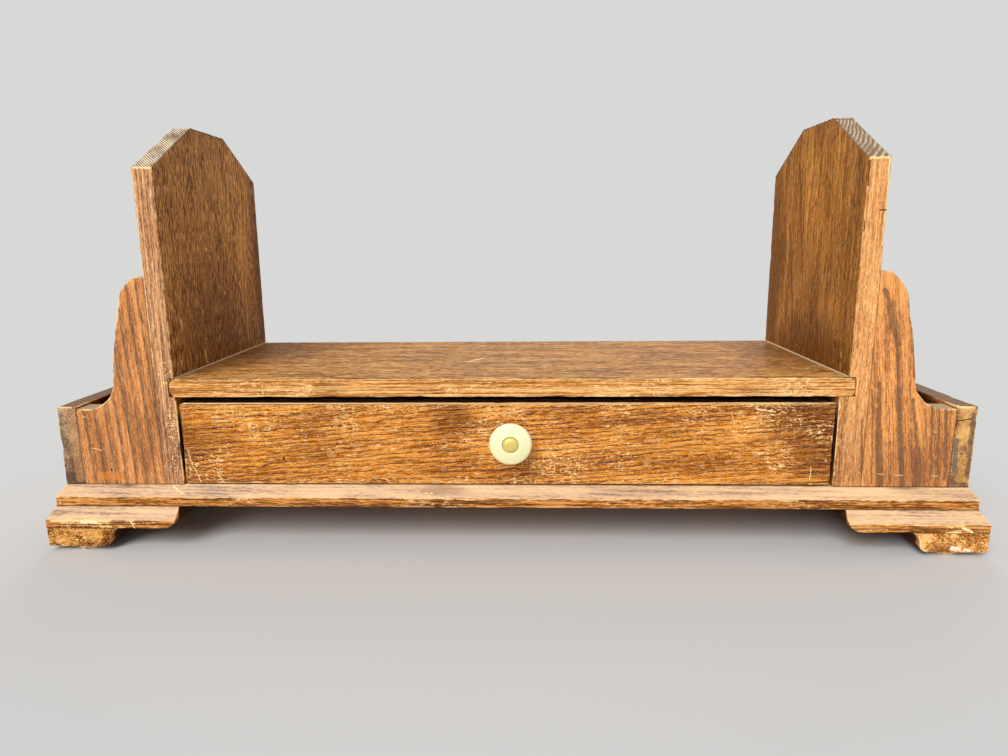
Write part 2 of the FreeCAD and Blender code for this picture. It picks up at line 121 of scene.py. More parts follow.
class Reading:
    """A number or vector that varies over a surface: one socket of a finish, with arithmetic on it."""

    def __init__(self, finish, socket):
        self.finish = finish
        self.socket = socket

    def joined(self, operation, first, second):
        vector = any(
            isinstance(value, tuple) or isinstance(value, Reading) and value.socket.type == "VECTOR"
            for value in (first, second)
        )
        kind = "ShaderNodeVectorMath" if vector else "ShaderNodeMath"
        return self.finish.node(kind, {"operation": operation}, {0: first, 1: second})

    def __add__(self, other):
        return self.joined("ADD", self, other)

    def __radd__(self, other):
        return self.joined("ADD", other, self)

    def __sub__(self, other):
        return self.joined("SUBTRACT", self, other)

    def __rsub__(self, other):
        return self.joined("SUBTRACT", other, self)

    def __mul__(self, other):
        return self.joined("MULTIPLY", self, other)

    def __rmul__(self, other):
        return self.joined("MULTIPLY", other, self)

    def __truediv__(self, other):
        return self.joined("DIVIDE", self, other)

    def __rtruediv__(self, other):
        return self.joined("DIVIDE", other, self)

    def __abs__(self):
        return self.finish.node("ShaderNodeMath", {"operation": "ABSOLUTE"}, {0: self})

    def most(self, other):
        return self.joined("MAXIMUM", self, other)

    def least(self, other):
        return self.joined("MINIMUM", self, other)

    def turn_share(self):
        """How far through the current whole number the value is, 0 to 1."""
        return self.finish.node("ShaderNodeMath", {"operation": "FRACT"}, {0: self})

    def rise(self, start, end):
        """0 before start, 1 after end and a smooth step between. start may be the larger."""
        settings = {"interpolation_type": "SMOOTHSTEP"}
        return self.finish.node("ShaderNodeMapRange", settings, {0: self, 1: start, 2: end})

    def ramp(self, stops):
        """The value looked up in stops, each (place, grey or colour)."""
        return self.finish.node("ShaderNodeValToRGB", {"stops": stops}, {0: self})


class Finish:
    """A material and what builds its nodes."""

    def __init__(self, name):
        self.material = bpy.data.materials.new(name)
        self.material.use_nodes = True
        self.tree = self.material.node_tree
        self.shader = self.tree.nodes["Principled BSDF"]

    def node(self, kind, settings=None, sockets=None, output=0):
        made = self.tree.nodes.new(kind)
        for name, value in (settings or {}).items():
            if name == "stops":
                self.set_stops(made.color_ramp.elements, value)
            else:
                setattr(made, name, value)
        for key, value in (sockets or {}).items():
            self.feed(made.inputs[key], value)
        if isinstance(output, tuple):
            return [Reading(self, made.outputs[key]) for key in output]
        return Reading(self, made.outputs[output])

    def set_stops(self, elements, stops):
        for _ in stops[2:]:
            elements.new(0.5)
        for element, (place, value) in zip(elements, stops):
            element.position = place
            element.color = (value, value, value, 1.0) if isinstance(value, float) else (*value, 1.0)

    def feed(self, socket, value):
        if isinstance(value, Reading):
            self.tree.links.new(value.socket, socket)
        elif socket.type == "VECTOR" and isinstance(value, float):
            socket.default_value = (value, value, value)
        elif socket.type == "RGBA":
            socket.default_value = (*value, 1.0)
        else:
            socket.default_value = value

    def place(self):
        """The point on the piece, in millimetres."""
        return self.node("ShaderNodeTexCoord", output="Object") * 1000.0

    def kept(self, name):
        """A value that the mesh keeps at each of its points."""
        return self.node("ShaderNodeAttribute", {"attribute_name": name}, output="Fac")

    def cloud(self, point, size, detail=2.0, rough=0.5):
        """Smooth noise about 0.5 whose lumps are as large as size, one length for each way of the point."""
        scaled = point * tuple(1.0 / length for length in size)
        sockets = {"Vector": scaled, "Scale": 1.0, "Detail": detail, "Roughness": rough}
        return self.node("ShaderNodeTexNoise", None, sockets)

    def blend(self, share, first, second):
        """The first colour where share is 0, and the second where it is 1."""
        sockets = {0: share, 6: first, 7: second}
        return self.node("ShaderNodeMix", {"data_type": "RGBA"}, sockets, 2)

    def surface(self, colour, rough, height, depth):
        """Colour, roughness and fine relief. depth is the relief's own, in millimetres."""
        bump = self.node("ShaderNodeBump", None, {"Height": height, "Distance": depth * MM, "Strength": 1.0})
        self.feed(self.shader.inputs["Base Color"], colour)
        self.feed(self.shader.inputs["Roughness"], rough)
        self.feed(self.shader.inputs["Normal"], bump)


RAW = paint(250, 208, 146)
# Dark of the joints, and also the colour of painted shade in trays, gaps and under overhangs
GRIME_AND_SHADE = paint(50, 30, 20)
CREAM = (255, 228, 176)
INK = (46, 26, 14)
SAWN = ((0.15, (88, 64, 46)), (0.45, (146, 124, 102)), (0.72, (194, 170, 140)), (1.0, (242, 224, 192)))
TONE_PLACES = (0.32, 0.45, 0.55, 0.68)
RING_PORES = [(0.0, 1.0), (0.3, 0.8), (0.5, 0.15), (0.75, 0.0), (0.9, 0.2), (1.0, 1.0)]
UP = ("X", "Y", "Z")
# Names of spotted values: rubbed wear, stains with some painted shade, paler patches, and painted shade in
# trays, gaps and hollows
SPOTS = ("rub", "stain", "glow", "soil")


def strokes(wood, place, flat, sway, marks):
    """How near a point is to any of some marks: 1 on one of them. flat has 0 for the way into the board."""
    level = place + (wood.cloud(place, (7.0, 7.0, 7.0), 1.0) - 0.5) * sway * flat
    nearest = None
    for start, end, width in marks:
        run = Vector(end) - Vector(start)
        reach = level - tuple(start)
        sockets = {0: reach, 1: tuple(run / run.length_squared)}
        share = wood.node("ShaderNodeVectorMath", {"operation": "DOT_PRODUCT"}, sockets, "Value")
        share = wood.node("ShaderNodeClamp", None, {0: share})
        foot = wood.node("ShaderNodeVectorMath", {"operation": "SCALE"}, {0: tuple(run), "Scale": share})
        gap = wood.node("ShaderNodeVectorMath", {"operation": "LENGTH"}, {0: reach - foot}, "Value") / width
        nearest = gap if nearest is None else nearest.least(gap)
    return nearest.rise(1.0, 0.4)


def ring_line(width):
    """The dark line at the end of each ring, width as a share of the ring."""
    return [
        (0.0, 1.0),
        (width * 0.5, 0.85),
        (width, 0.1),
        (0.4, 0.0),
        (1.0 - width * 0.55, 0.0),
        (1.0 - width * 0.2, 0.8),
        (1.0, 1.0),
    ]


def tone(wood, reading, tones):
    """The wood's own colour from its darkest streaks to its palest."""
    return reading.ramp([(place, paint(*colour)) for place, colour in zip(TONE_PLACES, tones)])


def oak(
    name, grain, seed, face, edge=None, end=None, upward_sheen_and_wear=None,
    fibre=(6.0, 1.0, 1.0), gain=0.8, crisp=0.6, streak=(50.0, 1.6, 1.6), pull=0.9, edge_pull=1.1,
    ring=4.0, fineness=0.68, lean=40.0, drift=0.0, sway=6.0, ripple=1.2,
    line=(96, 56, 34), lines=0.7, band=0.2, pits=0.2, flecks=0.2, fleck=(250, 212, 156),
    wear=1.0, ledge=0.0, dirt=0.7, top_tone_and_shade=0.0, top_tone_and_shade_colour=(70, 50, 36), marks=(), sawn=False,
):
    """Old varnished oak. grain names the ways along, across and through the board, such as XZY.

    face, edge and end are the tones of its broad sides, long edges and ends; the fourth tones are for upward
    slopes, paled partly by wear and partly by painted sheen.
    fibre and streak size the short and long grain, and gain, crisp and pull are their strengths.
    ring to ripple shape the rings, line to pits darken rings and pores, and flecks are the pale rays.
    wear bares the arrises and ledge more of those that face up. Level tops can take a colour of their own:
    painted shade on the drawer front's top, in the gap under the shelf, a pale tone on the brackets and a
    grey one on the end walls.
    """
    wood = Finish(name)
    place = wood.place()
    ways = dict(zip("XYZ", wood.node("ShaderNodeSeparateXYZ", None, {0: place}, UP)))
    along = ways[grain[0]] + seed * SEED_ALONG
    across = ways[grain[1]] + along * drift
    through = ways[grain[2]] + seed * SEED_THROUGH
    inner = wood.node("ShaderNodeCombineXYZ", None, {0: along, 1: across, 2: through})
    outward = wood.node("ShaderNodeTexCoord", output="Normal")
    facing = dict(zip("XYZ", wood.node("ShaderNodeSeparateXYZ", None, {0: outward}, UP)))
    on_end = abs(facing[grain[0]]).rise(0.5, 0.8)

    slow = (wood.cloud(inner, (170.0, 45.0, 45.0), 1.0) - 0.5) * (2.0 * sway)
    waver = (wood.cloud(inner, (24.0, 9.0, 9.0), 2.0) - 0.5) * (5.0 * ripple)
    turn = math.radians(lean)
    rings = (across * math.cos(turn) + through * math.sin(turn) + slow + waver) / ring
    late = rings.turn_share().ramp(ring_line(fineness / ring))
    porous = rings.turn_share().ramp(RING_PORES)

    fine = wood.cloud(inner, fibre, 2.0, 0.6)
    grit = wood.cloud(inner + (3.0, 8.0, 5.0), (fibre[0] * 0.28, fibre[1] * 0.8, fibre[2] * 0.8), 1.0)
    long = wood.cloud(inner + (70.0, 20.0, 60.0), streak, 2.0, 0.55)
    patches = wood.cloud(inner, (80.0, 16.0, 16.0), 2.0)
    blotch = wood.cloud(place, (20.0, 20.0, 20.0), 3.0, 0.65)
    pores = wood.cloud(inner + (31.0, 57.0, 11.0), fibre, 1.0).rise(0.55, 0.62)
    rays = wood.cloud(inner + (500.0, 90.0, 40.0), fibre, 1.0).rise(0.54, 0.61)

    reading = (
        (fine - 0.5) * gain
        + (grit - 0.5) * crisp
        + (long - 0.5) * pull
        + (patches - 0.5) * 0.75
        - porous * band * 0.3
    )
    colour = tone(wood, reading + (0.5 + band * 0.1), face)
    side_on = abs(facing[grain[2]]).rise(0.75, 0.55)
    if edge:
        drawn = (long - 0.5) * edge_pull + (fine - 0.5) * 0.65 + (grit - 0.5) * 0.5 + 0.5
        colour = wood.blend(side_on, colour, tone(wood, drawn, edge))
    if end:
        mottled = (fine - 0.5) * 0.7 + (grit - 0.5) * 0.9 + (blotch - 0.5) * 1.9 + 0.5
        colour = wood.blend(on_end, colour, tone(wood, mottled, end))
    broken = wood.cloud(inner + (9.0, 9.0, 3.0), (40.0, 3.0, 3.0), 1.0).rise(0.3, 0.52)
    shown = (broken * 0.8 + 0.15) * (1.0 - on_end * 0.6) * (1.0 - side_on * 0.5)
    late_lines = late * shown * lines
    pitted = pores * (porous + 0.5) * pits * (1.0 - side_on * 0.6) * (1.0 - on_end * 0.6)
    colour = wood.blend((late_lines + pitted).least(1.0), colour, paint(*line))
    colour = wood.blend(rays * flecks * (1.0 - side_on * 0.6), colour, paint(*fleck))
    # Upward faces paled, partly by wear and partly as a painted sheen of the light from above
    if upward_sheen_and_wear:
        streaks = wood.cloud(inner + (7.0, 3.0, 1.0), (80.0, 2.0, 2.0), 2.0)
        sheen_and_wear = tone(wood, (streaks - 0.5) * 0.75 + (grit - 0.5) * 0.5 + (patches - 0.5) * 0.5 + 0.52, upward_sheen_and_wear)
        colour = wood.blend(facing["Z"].rise(0.3, 0.5), colour, sheen_and_wear)

    # Stains darken the wood; the large spots low on the uprights' inner sides are painted shade
    stain = (wood.kept("stain") + (patches - 0.5) * wood.kept("stain") * 2.0).rise(0.05, 0.9)
    colour = wood.blend(stain, colour, colour * (0.5, 0.45, 0.5))
    glow = wood.kept("glow") * (long * 1.4 + 0.3)
    colour = wood.blend(glow, colour, colour * (1.62, 1.62, 1.56))

    # Level tops in one colour: painted shade on the drawer front's top in its gap, a plain tone elsewhere
    if top_tone_and_shade:
        layer = facing["Z"].rise(0.85, 0.98) * ((fine - 0.5) * 0.8 + top_tone_and_shade)
        colour = wood.blend(layer, colour, paint(*top_tone_and_shade_colour))
    from_arris = (1.0 - wood.kept("arris")) * REACH
    if ledge:
        from_arris = from_arris - facing["Z"].rise(0.3, 0.8) * ledge
    worn = (from_arris - (blotch - 0.5) * 4.5 - (fine - 0.5) * 2.5).rise(0.9, 0.3) * wear
    curl = abs(wood.cloud(place, (6.4, 4.0, 3.2), 1.5) - 0.5).rise(0.032, 0.014)
    scraped = wood.kept("rub") + (blotch - 0.5) * 1.8 + (fine - 0.5) * 2.6
    rubbed = curl * scraped.rise(0.5, 0.75)
    colour = wood.blend(worn.most(rubbed), colour, RAW)
    if sawn:
        crest = wood.kept("sawn") + (fine - 0.5) * 0.4
        ramped = crest.ramp([(at, paint(*shade)) for at, shade in SAWN])
        colour = wood.blend(wood.kept("sawn").rise(0.02, 0.15), colour, ramped)
    from_seam = (1.0 - wood.kept("seam")) * REACH
    grime = (from_seam - (blotch - 0.5) * 1.6 - (fine - 0.5) * 1.2).rise(0.7, 0.1) * dirt
    # Dark joints along seams, and painted shade in trays, gaps and under overhangs
    soil = (wood.kept("soil") + (blotch - 0.5) * wood.kept("soil")).rise(0.1, 0.7)
    colour = wood.blend(grime.most(soil * 0.93), colour, GRIME_AND_SHADE)
    for flat, shade, bent, share, group in marks:
        mark = strokes(wood, place, flat, bent, group) * ((grit - 0.5) * 1.6 + share)
        colour = wood.blend(mark, colour, paint(*shade))

    height = fine * 0.6 + grit * 0.3 - pores * 0.7 - late * 0.3
    wood.shader.inputs["Specular IOR Level"].default_value = 0.0
    wood.shader.inputs["Coat Roughness"].default_value = 0.35
    wood.feed(wood.shader.inputs["Coat Weight"], 0.14 - worn.most(rubbed) * 0.12)
    wood.surface(colour, 0.5 + worn * 0.25 + pores * 0.15, height, 0.2)
    return wood.material


def solid_of(node):
    """The piece's own solid, with its loose triangles joined up and its flat faces made whole."""
    shape = bmesh.new()
    shape.from_mesh(frame["nodes"][node].data)
    bmesh.ops.remove_doubles(shape, verts=shape.verts, dist=MERGE * MM)
    bmesh.ops.dissolve_limit(
        shape,
        angle_limit=math.radians(FLAT_ANGLE),
        verts=shape.verts,
        edges=shape.edges,
        use_dissolve_boundaries=False,
    )
    shape.normal_update()
    return shape


BOXES = {node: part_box(node) for node in frame["nodes"]}
SOLIDS = {}
for node in frame["nodes"]:
    shape = solid_of(node)
    SOLIDS[node] = BVHTree.FromBMesh(shape)
    shape.free()


def neighbours(node):
    """The other pieces whose boxes meet this one's, with those boxes."""
    low, high = BOXES[node]
    found = []
    for other, (other_low, other_high) in BOXES.items():
        meets = all(
            other_low[i] < high[i] + TOUCH * MM and other_high[i] > low[i] - TOUCH * MM
            for i in range(3)
        )
        if meets and other != node:
            found.append((other_low, other_high, SOLIDS[other]))
    return found


def outside_box(point, low, high):
    """How far a point is from a box."""
    return Vector([max(low[i] - point[i], point[i] - high[i], 0.0) for i in range(3)]).length


def inside(point, others):
    """True for a point that is inside one of the other pieces."""
    for low, high, tree in others:
        if outside_box(point, low, high) > 0.0:
            continue
        spot, normal, _, _ = tree.find_nearest(point, INSIDE_REACH * MM)
        if spot is not None and (point - spot).dot(normal) < 0.0:
            return True
    return False


def arrises(shape):
    """The outward edges of a board that are long enough to be worked."""
    found = []
    for edge in shape.edges:
        if len(edge.link_faces) != 2 or edge.calc_length() < SHORTEST_ARRIS * MM and not curved(edge):
            continue
        if edge.is_convex and edge.calc_face_angle() > math.radians(SHARP_ANGLE):
            found.append(edge)
    return found


def curved(edge):
    """True for a short edge that is one step of a curved outline, so beside a face that is long one way."""
    return any(other.calc_length() > BROAD_FACE * MM for face in edge.link_faces for other in face.edges)


def open_points(edge, others):
    """Points along an arris where no other piece meets it, each with the way into the board."""
    found = []
    start, end = (vertex.co for vertex in edge.verts)
    first, second = (face.normal.copy() for face in edge.link_faces)
    steps = max(1, round((end - start).length / (SAMPLE * MM)))
    inward = -(first + second).normalized()
    aside = (first - second) * (PROBE * MM)
    for i in range(steps + 1):
        point = start.lerp(end, i / steps)
        if not inside(point + aside, others) and not inside(point - aside, others):
            found.append((point, inward))
    return found


def cut_across(shape, point, normal, parts=None):
    """Cut the mesh along a plane, all of it or only some parts. Returns the parts there are then."""
    return bmesh.ops.bisect_plane(
        shape,
        geom=parts or shape.verts[:] + shape.edges[:] + shape.faces[:],
        dist=ON_PLANE * MM,
        plane_co=point,
        plane_no=normal,
    )["geom"]


def flats(shape):
    """A point and the normal of each large flat side, one for each plane."""
    found = {}
    for face in shape.faces:
        if face.calc_area() < SMALLEST_FLAT * MM * MM:
            continue
        normal = face.normal
        key = tuple(round(value, 2) for value in (*normal, face.calc_center_median().dot(normal) * 1000.0))
        found[key] = (face.calc_center_median().copy(), normal.copy())
    return list(found.values())


def rounded(shape, edges, radius, segments):
    """Round some edges."""
    bmesh.ops.bevel(
        shape,
        geom=edges,
        offset=radius * MM,
        segments=segments,
        profile=0.5,
        affect="EDGES",
        clamp_overlap=False,
        material=-1,
    )


def rounded_ends(shape, node, corners):
    """Round some of a board's corners, as seen from the front. Each is (right, top, radius)."""
    low, high = BOXES[node]
    for right, top, radius in corners:
        x = high.x if right else low.x
        z = high.z if top else low.z
        found = [
            edge for edge in shape.edges
            if all(abs(v.co.x - x) < TOUCH * MM and abs(v.co.z - z) < TOUCH * MM for v in edge.verts)
        ]
        rounded(shape, found, radius, 5)


def saw_ridges(shape, node, sides, cut):
    """The rough top of an upright, left by a coarse saw: ridges aslant over it and its clipped corners.

    sides are the board's flats. Returns how pale each point of the top is, from its troughs to its crests.
    """
    low, high = BOXES[node]
    outer = low.x if high.x < 0.0 else high.x
    inward = Vector((-math.copysign(1.0, outer), 0.0, 0.0))
    depths = {}
    for centre, normal in sides:
        if normal.z < LEAST_UPWARD or centre.z < high.z - SAWN_REACH * MM:
            continue
        run = inward.cross(normal).normalized()
        run *= math.copysign(1.0, run.y)
        near = [f for f in shape.faces if abs((f.calc_center_median() - centre).dot(normal)) < LOOPS[0] * MM]
        parts = list(dict.fromkeys([part for f in near for part in (*f.verts, *f.edges, f)]))
        reach = [(v.co - centre).dot(run) / MM for f in near for v in f.verts]
        thick = (high.x - low.x) / MM
        aside = abs(centre.x - outer) / MM
        first = math.ceil(min(reach) / cut["cell"])
        last = math.floor((max(reach) + cut["slant"] * thick) / cut["cell"])
        for k in range(first, last + 1):
            point = centre + run * ((k * cut["cell"] - cut["slant"] * aside) * MM)
            parts = cut_across(shape, point, (run + inward * cut["slant"]).normalized(), parts)
        for k in range(1, cut["strips"]):
            parts = cut_across(shape, low.lerp(high, k / cut["strips"]), inward, parts)
        for vertex in shape.verts:
            deep = (centre - vertex.co).dot(normal) / (LOOPS[0] * MM)
            along = (vertex.co - centre).dot(run) / MM
            if abs(deep) < 1.0 and min(reach) <= along <= max(reach):
                across = abs(vertex.co.x - outer) / MM
                drift = noise.noise(Vector((along / 14.0, across / 9.0, outer)))
                bent = (cut["slant"] + cut["fan"] * along) * across + drift * cut["wander"]
                crest = 0.5 + 0.5 * math.cos(2.0 * math.pi * (along + bent) / cut["pitch"])
                crest = crest * crest * (3.0 - 2.0 * crest)
                hair = noise.noise(Vector((along / 1.7 + across, across / 5.0, outer)))
                crest = crest ** cut["sharp"] * (0.8 + 0.6 * drift) + hair * 0.3
                depths[vertex] = (normal, max(0.0, min(1.0, crest)), 1.0 - max(0.0, deep))
    for vertex, (normal, crest, share) in depths.items():
        vertex.co -= normal * ((1.0 - crest) * cut["depth"] * share * MM)
    dark, pale = cut["tones"]
    return {
        vertex: dark + (pale - dark) * crest
        for vertex, (_, crest, share) in depths.items()
        if share > SAWN_SHARE
    }


def spotted(point, spots):
    """How strong the strongest of some spots is at a point. Each is (centre, half sizes, strength)."""
    strength = 0.0
    for centre, half, most in spots:
        gap = Vector([(point[i] - centre[i]) / half[i] for i in range(3)]).length
        if gap < 1.0:
            strength = max(strength, most * (1.0 - gap * gap))
    return strength


def worn_board(
    node, finish, cell=(6.0, 8.0, 6.0), chips=1.0, ease=EASE, corners=(), saw=None, joined=(), **spots_of
):
    """A board with its arrises eased and worn, in place of the node of the same name.

    cell is the size of its mesh, chips the depth of its dents, and joined the pieces it shows no seam with.
    spots_of has the spots of each name in SPOTS, as spotted takes them.
    """
    shape = solid_of(node)
    low, high = BOXES[node]
    others = neighbours(node)
    open_seams = [other for other in others if not any(other[2] is SOLIDS[near] for near in joined)]
    rounded_ends(shape, node, corners)
    sides = flats(shape)
    spots = []
    exposed = []
    for edge in arrises(shape):
        points = open_points(edge, others)
        spots += points
        if len(points) > OPEN_SHARE * edge.calc_length() / (SAMPLE * MM):
            exposed.append(edge)
    rounded(shape, exposed, ease, 3)
    for centre, normal in sides:
        for depth in LOOPS:
            cut_across(shape, centre - normal * (depth * MM), normal)
    for i in range(3):
        normal = Vector([float(i == j) for j in range(3)])
        count = round((high[i] - low[i]) / (cell[i] * MM))
        for k in range(1, count):
            cut_across(shape, low.lerp(high, k / count), normal)
    ridges = saw_ridges(shape, node, sides, saw) if saw else {}

    tree = kdtree.KDTree(max(1, len(spots)))
    for i, (point, _) in enumerate(spots):
        tree.insert(point, i)
    tree.balance()
    kept = {name: [] for name in ("arris", "seam", "sawn") + SPOTS}
    for vertex in shape.verts:
        gap = REACH * MM
        if spots:
            _, index, gap = tree.find(vertex.co)
        kept["arris"].append(max(0.0, 1.0 - gap / (REACH * MM)))
        seam = REACH * MM
        for other_low, other_high, other in open_seams:
            if outside_box(vertex.co, other_low, other_high) < seam:
                spot, _, _, distance = other.find_nearest(vertex.co, seam)
                if spot is not None:
                    seam = distance
        kept["seam"].append(1.0 - seam / (REACH * MM))
        for name in SPOTS:
            kept[name].append(spotted(vertex.co / MM, spots_of.get(name, ())))
        kept["sawn"].append(ridges.get(vertex, 0.0))
        if spots and gap < DENT_REACH * MM and vertex not in ridges:
            place = vertex.co / MM
            lump = noise.noise(place / LUMP_SIZE + Vector((7.3, 1.1, 4.2)))
            nick = noise.noise(place / NICK_SIZE)
            depth = 0.1 + max(0.0, lump - 0.15) * 2.2 + max(0.0, nick) * 0.5
            fall = (1.0 - gap / (DENT_REACH * MM)) ** 2
            vertex.co += spots[index][1] * (depth * chips * fall * MM)

    mesh = mesh_of(shape, node + "_worn")
    for name, values in kept.items():
        mesh.attributes.new(name, "FLOAT", "POINT").data.foreach_set("value", values)
    return placed(mesh, finish, node)


def mesh_of(shape, name):
    """The finished mesh of a shape."""
    mesh = bpy.data.meshes.new(name)
    shape.to_mesh(mesh)
    shape.free()
    return mesh


def placed(mesh, finish, *nodes):
    """A finished piece with the mesh's name in place of some nodes, on their body."""
    mesh.shade_smooth()
    mesh.materials.append(finish)
    piece = bpy.data.objects.new(mesh.name, mesh)
    bpy.context.scene.collection.objects.link(piece)
    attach(piece, frame["nodes"][nodes[0]]["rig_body"])
    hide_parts(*nodes)
    return piece


def bend(start, corner, end, steps=6):
    """Points of a smooth curve from start to end that leaves and arrives towards the corner."""
    first, middle, last = (Vector(point) for point in (start, corner, end))
    shares = [i / steps for i in range(steps + 1)]
    return [tuple(first.lerp(middle, share).lerp(middle.lerp(last, share), share)) for share in shares]


def turned(node, centre, axis, outline, finish, steps=72):
    """A turned piece. outline is its section as (radius, height) points in millimetres, along its axis."""
    shape = bmesh.new()
    axis = Vector(axis)
    aside = axis.orthogonal().normalized()
    verts = [shape.verts.new(centre + (aside * radius + axis * height) * MM) for radius, height in outline]
    edges = [shape.edges.new(pair) for pair in zip(verts, verts[1:])]
    bmesh.ops.spin(
        shape,
        geom=verts + edges,
        cent=centre,
        axis=axis,
        angle=2.0 * math.pi,
        steps=steps,
        use_merge=True,
        use_duplicate=False,
    )
    bmesh.ops.remove_doubles(shape, verts=shape.verts, dist=MERGE * MM)
    bmesh.ops.recalc_face_normals(shape, faces=shape.faces)
    return placed(mesh_of(shape, node + "_turned"), finish, node)


def metal(name, bright, dull, level, rough, scratch=0.12, metallic=1.0):
    """Handled metal, bright with dull patches. A lower level leaves more of it bright."""
    made = Finish(name)
    place = made.place()
    patch = made.cloud(place, (5.0, 5.0, 5.0), 4.0, 0.65)
    hair = made.cloud(place, (0.6, 0.6, 6.0), 2.0)
    worn = (patch + (hair - 0.5) * 0.4).rise(level + 0.12, level - 0.12)
    colour = made.blend(worn, paint(*bright), paint(*dull))
    made.shader.inputs["Metallic"].default_value = metallic
    made.surface(colour, rough + worn * 0.3, hair * scratch + patch * 0.3, 0.05)
    return made.material


def glaze():
    """The knob's old cream glaze, a little yellower low down and in its fine specks."""
    made = Finish("cream_glaze")
    place = made.place()
    z = made.node("ShaderNodeSeparateXYZ", None, {0: place}, UP)[2]
    low = z.rise(104.0, 76.0)
    cloudy = made.cloud(place, (9.0, 9.0, 9.0), 3.0, 0.6)
    speck = made.cloud(place, (1.1, 1.1, 1.1), 2.0).rise(0.66, 0.74)
    colour = made.blend(low * 0.7 + (cloudy - 0.5), paint(246, 240, 192), paint(240, 230, 168))
    colour = made.blend(speck * 0.35, colour, paint(214, 196, 140))
    made.shader.inputs["Coat Weight"].default_value = 0.4
    made.shader.inputs["Coat Roughness"].default_value = 0.08
    made.surface(colour, 0.3 + cloudy * 0.1, cloudy + speck * 0.2, 0.08)
    return made.material


SLOTS = {part["node"]: part["material_slot"] for part in frame["record"]["subparts"]}

# Tones of the oak, each from its darkest streaks to its palest
ORANGE = ((146, 80, 24), (187, 110, 29), (215, 132, 36), (240, 161, 68))
BRACKET = ((152, 96, 56), (190, 122, 70), (216, 142, 80), (236, 162, 98))
PEACH = ((168, 106, 60), (208, 136, 76), (232, 152, 82), (246, 170, 98))
BROWN = ((128, 80, 32), (158, 102, 40), (180, 119, 50), (204, 142, 68))
LEFT_BROWN = ((112, 68, 30), (148, 95, 41), (174, 113, 51), (204, 143, 75))
BASE = ((104, 58, 20), (158, 95, 36), (192, 120, 46), (228, 156, 86))
TAN = ((132, 90, 64), (184, 130, 90), (212, 154, 108), (236, 184, 134))
GOLDEN = ((186, 122, 70), (222, 154, 92), (240, 170, 104), (252, 196, 130))
SHELF = ((130, 80, 38), (164, 107, 46), (188, 129, 58), (214, 156, 84))
LEDGE = ((160, 98, 42), (202, 134, 64), (230, 161, 84), (252, 197, 130))
LEFT_WALL = ((106, 82, 62), (142, 112, 86), (166, 132, 100), (204, 166, 124))
RIGHT_WALL = ((106, 76, 54), (150, 108, 74), (182, 135, 88), (222, 172, 110))
LEFT_BLOCK = ((92, 48, 12), (138, 80, 22), (170, 104, 32), (214, 152, 72))
RIGHT_BLOCK = ((140, 82, 26), (190, 120, 44), (224, 148, 66), (250, 196, 124))
# Upward slopes, pale partly from wear and partly as painted sheen
SHEEN_AND_WEAR = ((158, 128, 106), (208, 169, 134), (224, 182, 139), (236, 194, 146))
STRIP = ((150, 96, 50), (188, 126, 70), (212, 148, 86), (236, 174, 110))
INSIDE = ((150, 108, 66), (182, 138, 90), (204, 160, 110), (222, 184, 136))

# Places on the rack, in millimetres
FRONT = BOXES["left_upright"][0].y / MM
INNER = BOXES["right_upright"][0].x / MM
OUTER = BOXES["right_upright"][1].x / MM
SHELF_TOP = BOXES["shelf"][1].z / MM
REAR_BRACKET = BOXES["left_rear_bracket"][0].y / MM
BASE_FRONT = -102.4
PLATE_FRONT = -108.9
BLOCK_FRONT = -108.8
PLATE_AHEAD = 13.0
BLOCK_AHEAD = 12.6
TRAY_WALL = 345.3
ROW = (-83.0, -55.0, -27.0, 0.0, 27.0, 55.0, 83.0)

# Half sizes of spots that run the whole way across or through the rack
ACROSS = 4000.0
THROUGH = 400.0


def on_front(*spots, y=FRONT):
    """Spots on the case's front, or at y, each (x, z, half its width, half its height, strength)."""
    return [((x, y, z), (wide, 9.0, high), most) for x, z, wide, high, most in spots]


def on_side(x, *spots):
    """Spots on a side at x, each (y, z, half its width, half its height, strength)."""
    return [((x, y, z), (2.5, wide, high), most) for y, z, wide, high, most in spots]


def in_depth(x, z, wide, high, most):
    """A row of spots that runs from just behind the front to the back."""
    return [((x, y, z), (wide, 26.0, high), most) for y in ROW]


def by_drawer(x, z, high):
    """Painted shade of the narrow gap beside the drawer."""
    return [((x, 0.0, z), (1.2, THROUGH, high), 1.6)]


def front_marks(shade, bent, *marks, depth=0.0, share=1.2):
    """Marks on the case's front, or depth before it, each (x, z, x, z, width). share is their strength."""
    y = FRONT - depth
    return (1.0, 0.0, 1.0), shade, bent, share, [((a, y, b), (c, y, d), width) for a, b, c, d, width in marks]


def side_marks(x, shade, bent, *marks, share=1.2):
    """Marks on a side at x, each (y, z, y, z, width)."""
    return (0.0, 1.0, 1.0), shade, bent, share, [((x, a, b), (x, c, d), width) for a, b, c, d, width in marks]


def clip_marks(x, width):
    """Painted shade along the inner arris of an upright's clipped top, at x. width is that of its front part.
    """
    return side_marks(
        x, (96, 56, 26), 1.0,
        (FRONT, 303, -27, 339.5, width), (-27, 339.5, 35.6, 339.5, 1.6), (35.6, 339.5, 101.5, 305, 1.8),
    )


def level_mark(x, z, shade, width):
    """A pale line at the end of the shelf, at x."""
    return side_marks(x, shade, 0.6, (-94.0, z, 101.0, z, width))


